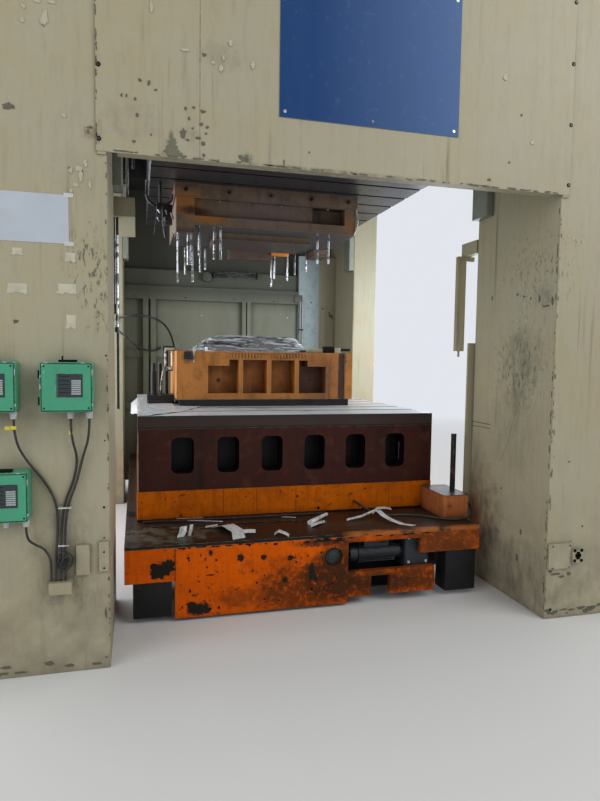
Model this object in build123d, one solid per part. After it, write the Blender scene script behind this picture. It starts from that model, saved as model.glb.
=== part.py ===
from build123d import *
import os
from math import tan, radians

# A frame hydraulic press with a rolling bolster, in millimetres.
# X runs across the front from left to right, Y runs from the front to the rear, Z is up.
# The origin is on the floor, at the centre of the footprint of the four posts.

os.makedirs("parts", exist_ok=True)

# Frame
opening_width = 2656
opening_height = 2663
post_width = 290
post_depth = 940
post_height = 5200
post_edge = 12
frame_depth = 4670
sheet = 10
clad_width = 950
clad_height = 4700
lintel_overlap = 51
lintel_fold = 60
lintel_stiffener = 50
lintel_join_x = -867
lintel_join_width = 2
lintel_join_depth = 2
side_panel_foot = 3700

# Crown, cylinders and tie rods
crown_height = 1600
crown_plate = 70
crown_rib = 60
crown_recess = 90
cylinder_pitch = 850
cylinder_wall = 75
cylinder_fit = 0.3
cylinder_flange = 80
cylinder_flange_reach = 75
cylinder_head = 220
plunger_fit = 0.3
plunger_grip = 500
bore_headroom = 60
main_plunger_radius = 260
side_plunger_radius = 170
tie_nut_radius = 130
tie_nut_height = 150
tie_rod_radius = 80
tie_rod_proud = 90

# Slide
slide_width = 2160
slide_setback = 195
slide_foot = 3040
slide_height = 1300
slide_stroke = 730
slide_recess = 60
recess_foot = 250
recess_head = 120
slot_width = 36
slot_head_width = 64
slot_lip = 30
slot_depth = 62
slot_pitch = 300
slide_slots = 7
slab_slots = 7

# Guides
rail_depth = 60
rail_width = 200
rail_foot = 2700
rail_edge = 8
guide_gap = 0.4
shoe_length = 700
shoe_rise = 450
shoe_lap = 70

# Bolster and its base
bolster_width = 2244
bolster_depth = 2500
bolster_foot = 696
bolster_top = 1230
slab_height = 93
window_width = 160
window_height = 260
window_pitch = 325
window_corner = 45
window_depth = 180
window_rise = 119
front_windows = 6
side_windows = 5
side_window_pitch = 450
base_reach = 6
base_edge = 12

# Carriage, which passes the left posts closer than the right ones
carriage_gap_left = 62
carriage_gap_right = 186
deck_depth = 3716
deck_top = 489
deck_height = 20
beam_width = 302
left_beam_foot = 259
right_beam_foot = 325
plate_thickness = 40
plate_foot = 20
wheel_radius = 120
wheel_width = 90
wheel_base = 2600
axle_radius = 40
axle_fit = 0.3
cheek_thickness = 50
cheek_width = 180
cheek_gap = 6
cheek_foot = 60

# Openings in the carriage's front plate, from its right end
recess_width = 521
recess_offset = 150
recess_top_bar = 39
low_bar_top = 228
low_bar_foot = 58
low_bar_width = 633
notch_offset = 165
notch_width = 134
notch_roof = 190
inspection_offset = 102
inspection_radius = 54
inspection_z = 342
bolt_hole_radius = 10
bolt_holes = [(405, 383), (560, 372), (746, 359), (694, 210)]

# Dies
die_centre_x = -100
die_width = 1536
die_depth = 930
riser_height = 60
riser_inset = 25
die_top = 1695
die_rib = 37
die_pocket_depth = 200
die_pocket_floor = 1340
die_pocket_roof = 1627
pocket_step = 52
pocket_widths = [259, 209, 209, 246]
pocket_offset = 7
raised_width = 80
tooth_pitch = 26
tooth_depth = 9
tooth_height = 42
tooth_count = 26
notch_inset = 68
upper_die_width = 1550
upper_die_depth = 1060
upper_die_centre_x = -111
shoe_plate_height = 100
casting_inset = 12
upper_die_foot = 2715
corner_drop = 66
corner_width = 146
corner_length = 260
flange_height = 75
pocket_roof_gap = 12
face_recess = 30
deep_pocket_width = 285
deep_pocket_inset = 108
deep_pocket_depth = 120
punch_width = 840
punch_drop = 55
rear_block_width = 420
rear_block_drop = 110
pin_radius = 9
pin_inset = 33

# Guard and brackets
left_bracket_z = (2556, 2680)
right_bracket_z = (2465, 2565)
left_bracket_reach = 135
right_bracket_reach = 8
left_bracket_depth = 720
right_bracket_depth = 225
bracket_lap = 46
guard_setback = 183
guard_sheet = 10
guard_rail_depth = 25
guard_post_depth = 30
guard_foot = 120
guard_top = 2700
guard_beam_z = (2336, 2496)
guard_rail_places = (300, 1000, 1634)
guard_rail_height = 84

# Boxes, plates and covers on the front
box_size = 245
box_depth = 110
box_edge = 12
lid_proud = 8
lid_inset = 6
gland_radius = 15
gland_length = 36
sign_width = 1057
sign_height = 780
sign_x = -448
sign_z = 2929
notice_size = (337, 238)
cover_size = (166, 165)

# Hoses and cables, their tubes made with few sides
hose_diameter = 22
cable_diameter = 12
deck_cable_diameter = 16
tube_sides = 8

lintel_foot = opening_height
inner_x = opening_width / 2
outer_x = inner_x + post_width
clad_x = inner_x + clad_width
front_y = -frame_depth / 2
rear_y = frame_depth / 2
post_back_y = front_y + post_depth
slide_depth = 2 * (-post_back_y - slide_setback)
deck_width = opening_width - carriage_gap_left - carriage_gap_right
carriage_x = (carriage_gap_left - carriage_gap_right) / 2
face_y = front_y - sheet
crown_foot = post_height
crown_top = post_height + crown_height

# The crown's roof plate reaches as far out as the boxes on the front face
roof_overhang = sheet + box_depth + lid_proud


def block(x, y, z):
    """A box from its low and high limit along each axis."""
    size = (x[1] - x[0], y[1] - y[0], z[1] - z[0])
    return Pos(x[0], y[0], z[0]) * Box(*size, align=(Align.MIN, Align.MIN, Align.MIN))


def drum(centre, radius, length, axis=Axis.Z):
    """A cylinder that starts at a point and runs along an axis."""
    return Plane(origin=centre, z_dir=axis.direction) * Cylinder(
        radius, length, align=(Align.CENTER, Align.CENTER, Align.MIN)
    )


def mirror_x(shape):
    return mirror(shape, about=Plane.YZ)


def mirror_y(shape):
    return mirror(shape, about=Plane.XZ)


def spread(count, pitch):
    """Evenly pitched places about zero."""
    return [(i - (count - 1) / 2) * pitch for i in range(count)]


def save(name, *shapes):
    """Writes one named piece, or a few like pieces that stand apart."""
    solids = [s for shape in shapes for s in shape.solids()]
    whole = solids[0] if len(solids) == 1 else Compound(children=solids)
    whole.label = name
    export_step(whole, f"parts/{name}.step")


def tee_slot(length):
    """A T-slot along X whose mouth is at Z = 0, opening upwards."""
    half = length / 2
    neck = block((-half, half), (-slot_width / 2, slot_width / 2), (-slot_depth, 1))
    head = block((-half, half), (-slot_head_width / 2, slot_head_width / 2), (-slot_depth, -slot_lip))
    return neck + head


# Posts
def post(x_side, y_side):
    x = sorted((x_side * inner_x, x_side * outer_x))
    y = sorted((y_side * rear_y, y_side * (rear_y - post_depth)))
    body = block(x, y, (0, post_height))
    return fillet(body.edges().filter_by(Axis.Z), post_edge)


post_names = {
    "post_front_left": (-1, -1),
    "post_front_right": (1, -1),
    "post_rear_left": (-1, 1),
    "post_rear_right": (1, 1),
}
for name, (x_side, y_side) in post_names.items():
    save(name, post(x_side, y_side))


# Cladding that widens the front of each front post
def cladding():
    face = block((inner_x, clad_x), (face_y, front_y), (0, clad_height))
    cabinet = block((outer_x, clad_x), (front_y, post_back_y), (0, clad_height))
    return face + cabinet


save("cladding_right", cladding())
save("cladding_left", mirror_x(cladding()))


# Sheet over the front opening, folded back along its foot, with stiffeners behind it
def front_lintel():
    reach = inner_x + lintel_overlap
    skin = block((-reach, reach), (face_y - sheet, face_y), (lintel_foot, crown_foot))
    join = (lintel_join_x - lintel_join_width / 2, lintel_join_x + lintel_join_width / 2)
    skin_y = face_y - sheet
    skin -= block(join, (skin_y - 1, skin_y + lintel_join_depth), (lintel_foot, crown_foot))
    span = inner_x - lintel_stiffener
    fold = block((-span, span), (face_y, face_y + lintel_fold), (lintel_foot, lintel_foot + sheet))
    ribs = [
        block((x - sheet / 2, x + sheet / 2), (face_y, face_y + lintel_fold), (lintel_foot, crown_foot))
        for x in (-span + sheet / 2, -span / 3, span / 3, span - sheet / 2)
    ]
    return skin + fold + ribs


def rear_lintel():
    return block((-outer_x, outer_x), (rear_y, rear_y + sheet), (lintel_foot, crown_foot))


def side_panel():
    y = rear_y - post_depth
    return block((outer_x - sheet, outer_x), (-y, y), (side_panel_foot, crown_foot))


save("front_lintel", front_lintel())
save("rear_lintel", rear_lintel())
save("side_panels", side_panel(), mirror_x(side_panel()))

# Crown: a welded box between a top and a bottom plate, ribbed all round, bored for the cylinders
plunger_places = [
    (0, main_plunger_radius),
    (-cylinder_pitch, side_plunger_radius),
    (cylinder_pitch, side_plunger_radius),
]


def barrel_radius(plunger_radius):
    return plunger_radius + plunger_fit + cylinder_wall


def crown():
    wide, deep = outer_x + roof_overhang, rear_y + roof_overhang
    foot = block((-outer_x, outer_x), (front_y, rear_y), (crown_foot, crown_foot + crown_plate))
    roof = block((-wide, wide), (-deep, deep), (crown_top - crown_plate, crown_top))
    core = block(
        (-outer_x + crown_recess, outer_x - crown_recess),
        (front_y + crown_recess, rear_y - crown_recess),
        (crown_foot, crown_top),
    )
    half = crown_rib / 2
    ribs = []
    for x in spread(5, (2 * outer_x - crown_rib) / 4):
        ribs.append(block((x - half, x + half), (front_y, rear_y), (crown_foot, crown_top)))
    for y in spread(5, (frame_depth - crown_rib) / 4):
        ribs.append(block((-outer_x, outer_x), (y - half, y + half), (crown_foot, crown_top)))
    body = foot + roof + core + ribs
    for x, radius in plunger_places:
        body -= drum((x, 0, crown_foot - 1), barrel_radius(radius) + cylinder_fit, crown_height + 2)
    return body


save("crown", crown())

# Cylinders: flanged barrels up through the crown, closed by a head, with the plungers inside
bore_mouth = crown_foot - cylinder_flange
plunger_top = bore_mouth + slide_stroke + plunger_grip
bore_roof = plunger_top + bore_headroom


def cylinder(x, plunger_radius):
    outer = barrel_radius(plunger_radius)
    flange = outer + cylinder_flange_reach
    body = drum((x, 0, bore_mouth), flange, cylinder_flange)
    body += drum((x, 0, crown_foot), outer, crown_height)
    body += drum((x, 0, crown_top), flange, cylinder_head)
    return body - drum((x, 0, bore_mouth - 1), plunger_radius + plunger_fit, bore_roof - bore_mouth + 1)


def plunger(x, radius):
    slide_top = slide_foot + slide_height
    return drum((x, 0, slide_top), radius, plunger_top - slide_top)


save("cylinders", *[cylinder(x, radius) for x, radius in plunger_places])
save("plungers", *[plunger(x, radius) for x, radius in plunger_places])


# Tie rod ends: a hexagonal nut and the rod's end over each post
def tie_rod_end(x_side, y_side):
    x = x_side * (inner_x + outer_x) / 2
    y = y_side * (rear_y - post_depth / 2)
    nut = Pos(x, y, crown_top) * extrude(RegularPolygon(tie_nut_radius, 6), tie_nut_height)
    rod = drum((x, y, crown_top), tie_rod_radius, tie_nut_height + tie_rod_proud)
    return nut + rod


save("tie_rod_nuts", *[tie_rod_end(*sides) for sides in post_names.values()])


# Guides: a rail on the inner face of each post, and an angle shoe on each corner of the slide
def guide_rail():
    y = post_back_y
    rail = block((inner_x - rail_depth, inner_x), (y - rail_width, y), (rail_foot, crown_foot))
    return chamfer(rail.edges().filter_by(Axis.Z).sort_by(Axis.X)[:2], rail_edge)


rail = guide_rail()
save("guide_rails", rail, mirror_x(rail), mirror_y(rail), mirror_x(mirror_y(rail)))


def slide_shoe():
    x_slide, y_slide = slide_width / 2, -slide_depth / 2
    x_face = inner_x - rail_depth - guide_gap
    z = (slide_foot + shoe_rise, slide_foot + shoe_rise + shoe_length)
    cheek = block((x_slide - shoe_lap, x_face), (post_back_y - rail_width, y_slide), z)
    wing = block((x_slide, x_face), (y_slide, y_slide + shoe_lap), z)
    heel = block((x_face, x_face + shoe_lap), (post_back_y + guide_gap, y_slide), z)
    return cheek + wing + heel


def slide_block():
    x, y = slide_width / 2, slide_depth / 2
    z = (slide_foot, slide_foot + slide_height)
    body = block((-x, x), (-y, y), z)
    for place in spread(slide_slots, slot_pitch):
        body -= Pos(0, place, slide_foot) * Rot(180, 0, 0) * tee_slot(slide_width + 2)
    width = (slide_width - 5 * crown_rib) / 4
    for centre in spread(4, width + crown_rib):
        span = (centre - width / 2, centre + width / 2)
        for face in (-y, y - slide_recess):
            body -= block(span, (face, face + slide_recess), (z[0] + recess_foot, z[1] - recess_head))
    return body


shoe = slide_shoe()
save("slide_block", slide_block())
save("slide_shoes", shoe, mirror_x(shoe), mirror_y(shoe), mirror_x(mirror_y(shoe)))

# Upper die: a plate, a ribbed casting under it, a punch and the pins that hang from its edges
plate_foot_z = slide_foot - shoe_plate_height
upper_left = upper_die_centre_x - upper_die_width / 2
upper_right = upper_left + upper_die_width
upper_front = -upper_die_depth / 2


def upper_die_plate():
    return block((upper_left, upper_right), (upper_front, -upper_front), (plate_foot_z, slide_foot))


def upper_pockets():
    """Low x, high x and depth of the pockets in the casting's face: a long shallow one and a deep one."""
    deep_high = upper_right - deep_pocket_inset
    deep_low = deep_high - deep_pocket_width
    return [
        (upper_left + casting_inset + corner_width, deep_low, face_recess),
        (deep_low, deep_high, deep_pocket_depth),
    ]


def upper_die():
    left, right = upper_left + casting_inset, upper_right - casting_inset
    front, rear = upper_front + casting_inset, -upper_front - casting_inset
    body = block((left, right), (front, rear), (upper_die_foot, plate_foot_z))
    low = (upper_die_foot - corner_drop, upper_die_foot)
    body += block((left, left + corner_width), (front, front + corner_length), low)
    body += block((right - corner_width, right), (rear - corner_length, rear), low)
    punch_x = (die_centre_x - punch_width / 2, die_centre_x + punch_width / 2)
    body += block(punch_x, (front / 2, -front / 2), (upper_die_foot - punch_drop, upper_die_foot))
    rear_x = (die_centre_x - rear_block_width / 2, die_centre_x + rear_block_width / 2)
    rear_z = (upper_die_foot - rear_block_drop, upper_die_foot)
    body += block(rear_x, (rear - corner_length / 2, rear), rear_z)
    pocket_z = (upper_die_foot + flange_height, plate_foot_z - pocket_roof_gap)
    for low_x, high_x, depth in upper_pockets():
        for y in ((front, front + depth), (rear - depth, rear)):
            body -= block((low_x, high_x), y, pocket_z)
    return body


# Each pin's place from the die's left end, and how far its tip hangs under the casting
pin_y = -upper_front - pin_inset
front_pins = [(26, 190), (107, 323), (131, 321), (196, 245), (319, 267), (373, 264), (1203, 258), (1302, 253)]
rear_pins = [
    (88, 357), (158, 277), (231, 341), (302, 241), (351, 219),
    (1014, 356), (1044, 275), (1179, 289), (1257, 225), (1374, 188),
]


def die_pins():
    pins = []
    for y, row in ((-pin_y, front_pins), (pin_y, rear_pins)):
        for place, drop in row:
            x = upper_left + place
            under_corner = y < 0 and place < casting_inset + corner_width
            seat = upper_die_foot - (corner_drop if under_corner else 0)
            tip = upper_die_foot - drop
            pins.append(Pos(x, y, tip) * extrude(RegularPolygon(pin_radius, 12), seat - tip))
    return pins


save("upper_die_plate", upper_die_plate())
save("upper_die", upper_die())
save("die_pins", *die_pins())


# Bolster: a ribbed casting with rounded windows in its sides, under a slotted slab
def window():
    """A rounded window that cuts into a front face at Y = 0."""
    outline = Plane.XZ * RectangleRounded(window_width, window_height, window_corner)
    return extrude(outline, -window_depth)


def bolster():
    x, y = bolster_width / 2, bolster_depth / 2
    body = block((-x, x), (-y, y), (bolster_foot, bolster_top - slab_height))
    z = bolster_foot + window_rise + window_height / 2
    cut = window()
    for place in spread(front_windows, window_pitch):
        body -= Pos(place, -y, z) * cut
        body -= Pos(place, y, z) * Rot(0, 0, 180) * cut
    for place in spread(side_windows, side_window_pitch):
        body -= Pos(-x, place, z) * Rot(0, 0, -90) * cut
        body -= Pos(x, place, z) * Rot(0, 0, 90) * cut
    return Pos(carriage_x, 0, 0) * body


def bolster_slab():
    x, y = bolster_width / 2, bolster_depth / 2
    slab = block((-x, x), (-y, y), (bolster_top - slab_height, bolster_top))
    for place in spread(slab_slots, slot_pitch):
        slab -= Pos(0, place, bolster_top) * tee_slot(bolster_width + 2)
    return Pos(carriage_x, 0, 0) * slab


base_x = bolster_width / 2 + base_reach
base_y = bolster_depth / 2 + base_reach


def bolster_base():
    body = block((carriage_x - base_x, carriage_x + base_x), (-base_y, base_y), (deck_top, bolster_foot))
    return fillet(body.edges().filter_by(Axis.Z), base_edge)


save("bolster", bolster())
save("bolster_slab", bolster_slab())
save("bolster_base", bolster_base())

# Carriage: a deck on two side beams and two end plates, on four wheels held between cheeks
beam_top = deck_top - deck_height
deck_x = deck_width / 2
deck_y = deck_depth / 2
wheel_x = deck_x - beam_width / 2
beam_feet = {-1: left_beam_foot, 1: right_beam_foot}
wheel_corners = [(x_side, y_side) for x_side in (-1, 1) for y_side in (-1, 1)]


def deck():
    return block((carriage_x - deck_x, carriage_x + deck_x), (-deck_y, deck_y), (beam_top, deck_top))


def side_beam(side):
    x = sorted((side * (deck_x - beam_width), side * deck_x))
    return Pos(carriage_x, 0, 0) * block(x, (-deck_y, deck_y), (beam_feet[side], beam_top))


def cheeks(x_side, y_side):
    x, y = carriage_x + x_side * wheel_x, y_side * wheel_base / 2
    pair = []
    for side in (-1, 1):
        near = x + side * (wheel_width / 2 + cheek_gap)
        far = near + side * cheek_thickness
        depth = (y - cheek_width / 2, y + cheek_width / 2)
        cheek = block(sorted((near, far)), depth, (cheek_foot, beam_feet[x_side]))
        bore_start = (min(near, far) - 1, y, wheel_radius)
        pair.append(cheek - drum(bore_start, axle_radius + axle_fit, cheek_thickness + 2, Axis.X))
    return pair


def wheel(x_side, y_side):
    x, y = carriage_x + x_side * wheel_x, y_side * wheel_base / 2
    tread = drum((x - wheel_width / 2, y, wheel_radius), wheel_radius, wheel_width, Axis.X)
    half = wheel_width / 2 + cheek_gap + cheek_thickness
    return tread + drum((x - half, y, wheel_radius), axle_radius, 2 * half, Axis.X)


plate_left = carriage_x - deck_x + beam_width
plate_right = carriage_x + deck_x - beam_width


def end_plate(y):
    return block((plate_left, plate_right), (y, y + plate_thickness), (plate_foot, beam_top))


def front_plate():
    y = -deck_y
    depth = (y - 1, y + plate_thickness + 1)
    recess_right = plate_right - recess_offset
    recess_left = recess_right - recess_width
    bar_right = recess_left + low_bar_width
    notch = (recess_left + notch_offset, recess_left + notch_offset + notch_width)
    past = plate_right + 1
    body = end_plate(y)
    body -= block((recess_left, recess_right), depth, (low_bar_top, beam_top - recess_top_bar))
    body -= block((recess_left, past), depth, (low_bar_top, right_beam_foot))
    body -= block((recess_left, past), depth, (0, low_bar_foot))
    body -= block((bar_right, past), depth, (0, right_beam_foot))
    body -= block(notch, depth, (0, notch_roof))
    inspection = (recess_left - inspection_offset, y - 1, inspection_z)
    body -= drum(inspection, inspection_radius, plate_thickness + 2, Axis.Y)
    for place, z in bolt_holes:
        body -= drum((plate_left + place, y - 1, z), bolt_hole_radius, plate_thickness + 2, Axis.Y)
    return body


save("carriage_deck", deck())
save("carriage_beam_right", side_beam(1))
save("carriage_beam_left", side_beam(-1))
save("carriage_front_plate", front_plate())
save("carriage_rear_plate", end_plate(deck_y - plate_thickness))
save("carriage_cheeks", *[cheek for corner in wheel_corners for cheek in cheeks(*corner)])
save("carriage_wheels", *[wheel(*corner) for corner in wheel_corners])

# Drive: a finned motor and a gearbox, hung under the deck behind the front plate
motor_radius = 70
motor_core = 60
motor_z = 312
motor_length = 385
gearbox_size = (190, 190)
gearbox_gap = 50
gearbox_left = plate_right - gearbox_gap - gearbox_size[0]
motor_x = (gearbox_left - motor_length, gearbox_left)
motor_clear = 110
motor_y = -deck_y + plate_thickness + motor_clear
motor_fins = 16
motor_hanger = 90
fan_cowl = 55
gearbox_edge = 30


def drive_motor():
    low, high = motor_x
    body = drum((low + fan_cowl, motor_y, motor_z), motor_core, high - low - fan_cowl, Axis.X)
    body += drum((low, motor_y, motor_z), motor_radius, fan_cowl, Axis.X)
    fin = block((low + fan_cowl, high - fan_cowl), (-3, 3), (0, motor_radius))
    for i in range(motor_fins):
        body += Pos(0, motor_y, motor_z) * Rot(360 / motor_fins * (i + 0.5), 0, 0) * fin
    middle = (low + high) / 2
    hanger = block(
        (middle - motor_hanger, middle + motor_hanger),
        (motor_y - motor_hanger / 2, motor_y + motor_hanger / 2),
        (motor_z, beam_top),
    )
    return body + hanger


def gearbox():
    x = (motor_x[1], motor_x[1] + gearbox_size[0])
    half = gearbox_size[1] / 2
    body = block(x, (motor_y - half, motor_y + half), (motor_z - half, beam_top))
    return fillet(body.edges().filter_by(Axis.Z), gearbox_edge)


save("drive_motor", drive_motor())
save("gearbox", gearbox())

# Lower die: a ribbed casting on a riser, with a toothed edge over its front pockets
die_left = die_centre_x - die_width / 2
die_right = die_centre_x + die_width / 2
die_front = -die_depth / 2
die_foot = bolster_top + riser_height


def die_riser():
    x = (die_left + riser_inset, die_right - riser_inset)
    y = die_depth / 2 - riser_inset
    return block(x, (-y, y), (bolster_top, die_foot))


def pocket_places():
    """Low and high x of the pockets in the die's face, from left to right."""
    start = die_centre_x + pocket_offset - (sum(pocket_widths) + 3 * die_rib) / 2
    places = []
    for width in pocket_widths:
        places.append((start, start + width))
        start += width + die_rib
    return places


def lower_die():
    body = block((die_left, die_right), (die_front, -die_front), (die_foot, die_top))
    for face in (die_front, -die_front - die_pocket_depth):
        y = (face, face + die_pocket_depth)
        for i, (low, high) in enumerate(pocket_places()):
            body -= block((low, high), y, (die_pocket_floor, die_pocket_roof - pocket_step))
            top = (die_pocket_roof - pocket_step, die_pocket_roof)
            if i == 0:
                body -= block((high - raised_width, high), y, top)
            elif i == 3:
                body -= block((low, low + raised_width), y, top)
            else:
                body -= block((low, high), y, top)
    band_top = die_top - tooth_depth
    for x in spread(tooth_count, tooth_pitch):
        gap = (die_centre_x + x - tooth_pitch / 4, die_centre_x + x + tooth_pitch / 4)
        body -= block(gap, (die_front, die_front + tooth_depth), (band_top - tooth_height, band_top))
    notch = (die_left + notch_inset, die_left + notch_inset + 2 * die_rib)
    body -= block(notch, (die_front, die_front + die_rib), (die_top - 2 * die_rib, die_top))
    groove = (die_right - 3.5 * die_rib, die_right - 2 * die_rib)
    body -= block(groove, (die_front, die_front + die_rib / 2), (die_foot, die_top))
    return body


# Stamped panel, drawn over the post on top of the lower die
panel_x = (-724, 345)
panel_depth = 660
panel_sheet = 8
dome_x = (-690, 313)
dome_depth = 600
dome_height = 100
crest_height = 42
dome_corner = 110


def stamped_panel():
    y = panel_depth / 2
    body = block(panel_x, (-y, y), (die_top, die_top + panel_sheet))
    width = dome_x[1] - dome_x[0]
    foot = Pos((dome_x[0] + dome_x[1]) / 2, 0, die_top + panel_sheet)
    body += foot * extrude(RectangleRounded(width, dome_depth, dome_corner), dome_height, taper=35)
    drawn_in = 2 * dome_height * tan(radians(35))
    crest = RectangleRounded(width - drawn_in - 2, dome_depth - drawn_in - 2, dome_corner / 4)
    return body + foot * Pos(0, 0, dome_height) * extrude(crest, crest_height, taper=60)


# Lifting cylinders on the die's left side, under a bracket
lifter_radius = 17
lifter_places = (-1043, -985, -927)
lifter_base = (-1100, 80)
lifter_depth = 260
lifter_top = 1585
lifter_bracket = (96, 43)


def die_lifters():
    y = (-lifter_depth / 2, lifter_depth / 2)
    base_top = bolster_top + lifter_base[1]
    body = block((lifter_base[0], die_left), y, (bolster_top, base_top))
    for i, x in enumerate(lifter_places):
        place = (i - 1) * lifter_depth / 4
        top = die_top if x > die_left - lifter_bracket[0] else lifter_top
        body += drum((x, place, base_top), lifter_radius, top - base_top)
    body += block((die_left - lifter_bracket[0], die_left), y, (die_top, die_top + lifter_bracket[1]))
    return body


save("die_riser", die_riser())
save("lower_die", lower_die())
save("stamped_panel", stamped_panel())
save("die_lifters", die_lifters())

# Housing on the deck's front right corner, its outer lower edge bevelled, with a thin pipe on top
housing_width = 205
housing_overhang = 43
housing_x = (carriage_x + deck_x + housing_overhang - housing_width, carriage_x + deck_x + housing_overhang)
housing_depth = 380
housing_height = 171
housing_bevel = 70
housing_edge = 22
pipe_radius = 20
pipe_height = 430
pipe_inset = 38


def corner_housing():
    y = (-base_y - housing_depth, -base_y)
    body = block(housing_x, y, (deck_top, deck_top + housing_height))
    body = fillet(body.edges().filter_by(Axis.Z).group_by(Axis.Y)[0], housing_edge)
    bevel = Plane.XZ * make_face(
        Polyline(
            (housing_x[1] + 1, deck_top - 1),
            (housing_x[1] - housing_bevel / 2, deck_top - 1),
            (housing_x[1] + 1, deck_top + housing_bevel),
            close=True,
        )
    )
    body -= Pos(0, y[1] + 1, 0) * extrude(bevel, housing_depth + 2)
    pipe_x = housing_x[1] - pipe_inset
    pipe_y = (y[0] + y[1]) / 2
    return body + drum((pipe_x, pipe_y, deck_top + housing_height), pipe_radius, pipe_height)


save("corner_housing", corner_housing())


# Brackets on the rear faces of the front posts, with the guard rods and posts under them
def side_bracket(reach, depth, z):
    return block((inner_x - reach, inner_x + bracket_lap), (post_back_y, post_back_y + depth), z)


save("side_bracket_right", side_bracket(right_bracket_reach, right_bracket_depth, right_bracket_z))
save("side_bracket_left", mirror_x(side_bracket(left_bracket_reach, left_bracket_depth, left_bracket_z)))

guard_post_width = 70
guard_post_reach = 56
guard_post_thickness = 40
guard_post_foot = 1720
guard_arm_length = 140
guard_arm_height = 35
guard_tip_radius = 9
guard_tip_length = 46
guard_strip_top = 1780
guard_strip_size = (50, 20)
rod_x = -1308
rod_radius = 9
rod_gap = 22
rod_y = post_back_y + 50
clamp_z = 1950
rod_foot = 1290
clamp_size = 56


def guard_post_right():
    """A post that hangs from an arm under the bracket's rear end, and a strip on the post's rear edge."""
    bracket_end = post_back_y + right_bracket_depth
    depth = (bracket_end - guard_post_thickness, bracket_end)
    low = inner_x - guard_post_reach
    arm_z = (right_bracket_z[0] - guard_arm_height, right_bracket_z[0])
    hanger = block((low, low + guard_post_width), depth, (guard_post_foot, right_bracket_z[0]))
    hanger += block((low, low + guard_arm_length), depth, arm_z)
    tip = (low + guard_post_width / 2, sum(depth) / 2, guard_post_foot - guard_tip_length)
    hanger += drum(tip, guard_tip_radius, guard_tip_length)
    width, thickness = guard_strip_size
    strip_x = (inner_x - width, inner_x + bracket_lap)
    strip = block(strip_x, (post_back_y, post_back_y + thickness), (0, guard_strip_top))
    return hanger, strip


def guard_post_left():
    """Two rods that hang from the left bracket, the inner one through a clamp."""
    body = drum((rod_x, rod_y, rod_foot), rod_radius, left_bracket_z[0] - rod_foot)
    far_x = rod_x - rod_gap
    body += drum((far_x, rod_y, clamp_z), rod_radius, left_bracket_z[0] - clamp_z)
    half = clamp_size / 2
    x = (far_x - rod_radius, rod_x + rod_radius)
    body += block(x, (post_back_y, rod_y + half), (clamp_z - half, clamp_z + half / 2))
    return body


save("guard_post_right", *guard_post_right())
save("guard_post_left", guard_post_left())

# Guard across the rear opening: a sheet on rails, with posts before them and a beam on top
guard_y = rear_y - guard_setback
rail_y = guard_y - guard_sheet - guard_rail_depth
post_y = (rail_y - guard_post_depth, rail_y)
twin_bars = [(-1110, -1045), (-1020, -956), (104, 150), (165, 210)]
door_post_x = (837, 1105)
door_post_top = 2950


def rear_guard_panel():
    return block((-inner_x, inner_x), (guard_y - guard_sheet, guard_y), (guard_foot, guard_top))


def rear_guard_posts():
    return [block(bar, post_y, (0, guard_beam_z[0])) for bar in twin_bars]


def rear_guard_rails():
    x = (-inner_x, door_post_x[0])
    beam = block(x, (post_y[0], guard_y - guard_sheet), guard_beam_z)
    y = (rail_y, guard_y - guard_sheet)
    return [beam] + [block(x, y, (z, z + guard_rail_height)) for z in guard_rail_places]


def guard_door_post(x):
    return block(x, (post_y[0], guard_y - guard_sheet), (0, door_post_top))


save("rear_guard_panel", rear_guard_panel())
save("rear_guard_posts", *rear_guard_posts())
save("rear_guard_rails", *rear_guard_rails())
save("rear_guard_door_post", guard_door_post(door_post_x))
save("rear_guard_end_post", guard_door_post((door_post_x[1], inner_x)))

# Plates, boxes and covers on the front face
sign_y = face_y - sheet
sign_sheet = 4
notice_sheet_thickness = 2
notice_gap = 183
notice_x = -inner_x - notice_gap
notice_z = 2199


def sign_plate():
    return block((sign_x, sign_x + sign_width), (sign_y - sign_sheet, sign_y), (sign_z, sign_z + sign_height))


def notice_sheet():
    x = (notice_x - notice_size[0], notice_x)
    return block(x, (face_y - notice_sheet_thickness, face_y), (notice_z, notice_z + notice_size[1]))


box_places = {
    "control_box_upper_left": (-1993, 1368),
    "control_box_upper_right": (-1642, 1368),
    "control_box_lower": (-1945, 832),
}
gland_places = (0.55, 0.91)
gland_y = face_y - box_depth / 2


def control_box(x, z):
    front = face_y - box_depth
    body = block((x, x + box_size), (front, face_y), (z, z + box_size))
    body = fillet(body.edges().filter_by(Axis.Y), box_edge)
    lid_x = (x + lid_inset, x + box_size - lid_inset)
    lid_z = (z + lid_inset, z + box_size - lid_inset)
    body += block(lid_x, (front - lid_proud, front), lid_z)
    window_x = (x + box_size * 0.3, x + box_size * 0.78)
    window_z = (z + box_size * 0.3, z + box_size * 0.77)
    body -= block(window_x, (front - lid_proud - 1, front - lid_proud / 2), window_z)
    for share in gland_places:
        gland = Pos(x + box_size * share, gland_y, z - gland_length) * RegularPolygon(gland_radius, 8)
        body += extrude(gland, gland_length)
    return body


for name, place in box_places.items():
    save(name, control_box(*place))
save("sign_plate", sign_plate())
save("notice_sheet", notice_sheet())

cover_depth = 15
cover_inset = 6
right_cover_z = 327
socket_z = 364
socket_size = 78
socket_depth = 30
left_cover_gap = 99
left_cover_width = 66
left_cover_z = (514, 672)
angle_gap = 3
angle_width = 50
angle_z = (526, 684)
inlet_x = -1566
inlet_z = 500
inlet_size = (110, 70, 60)


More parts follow.
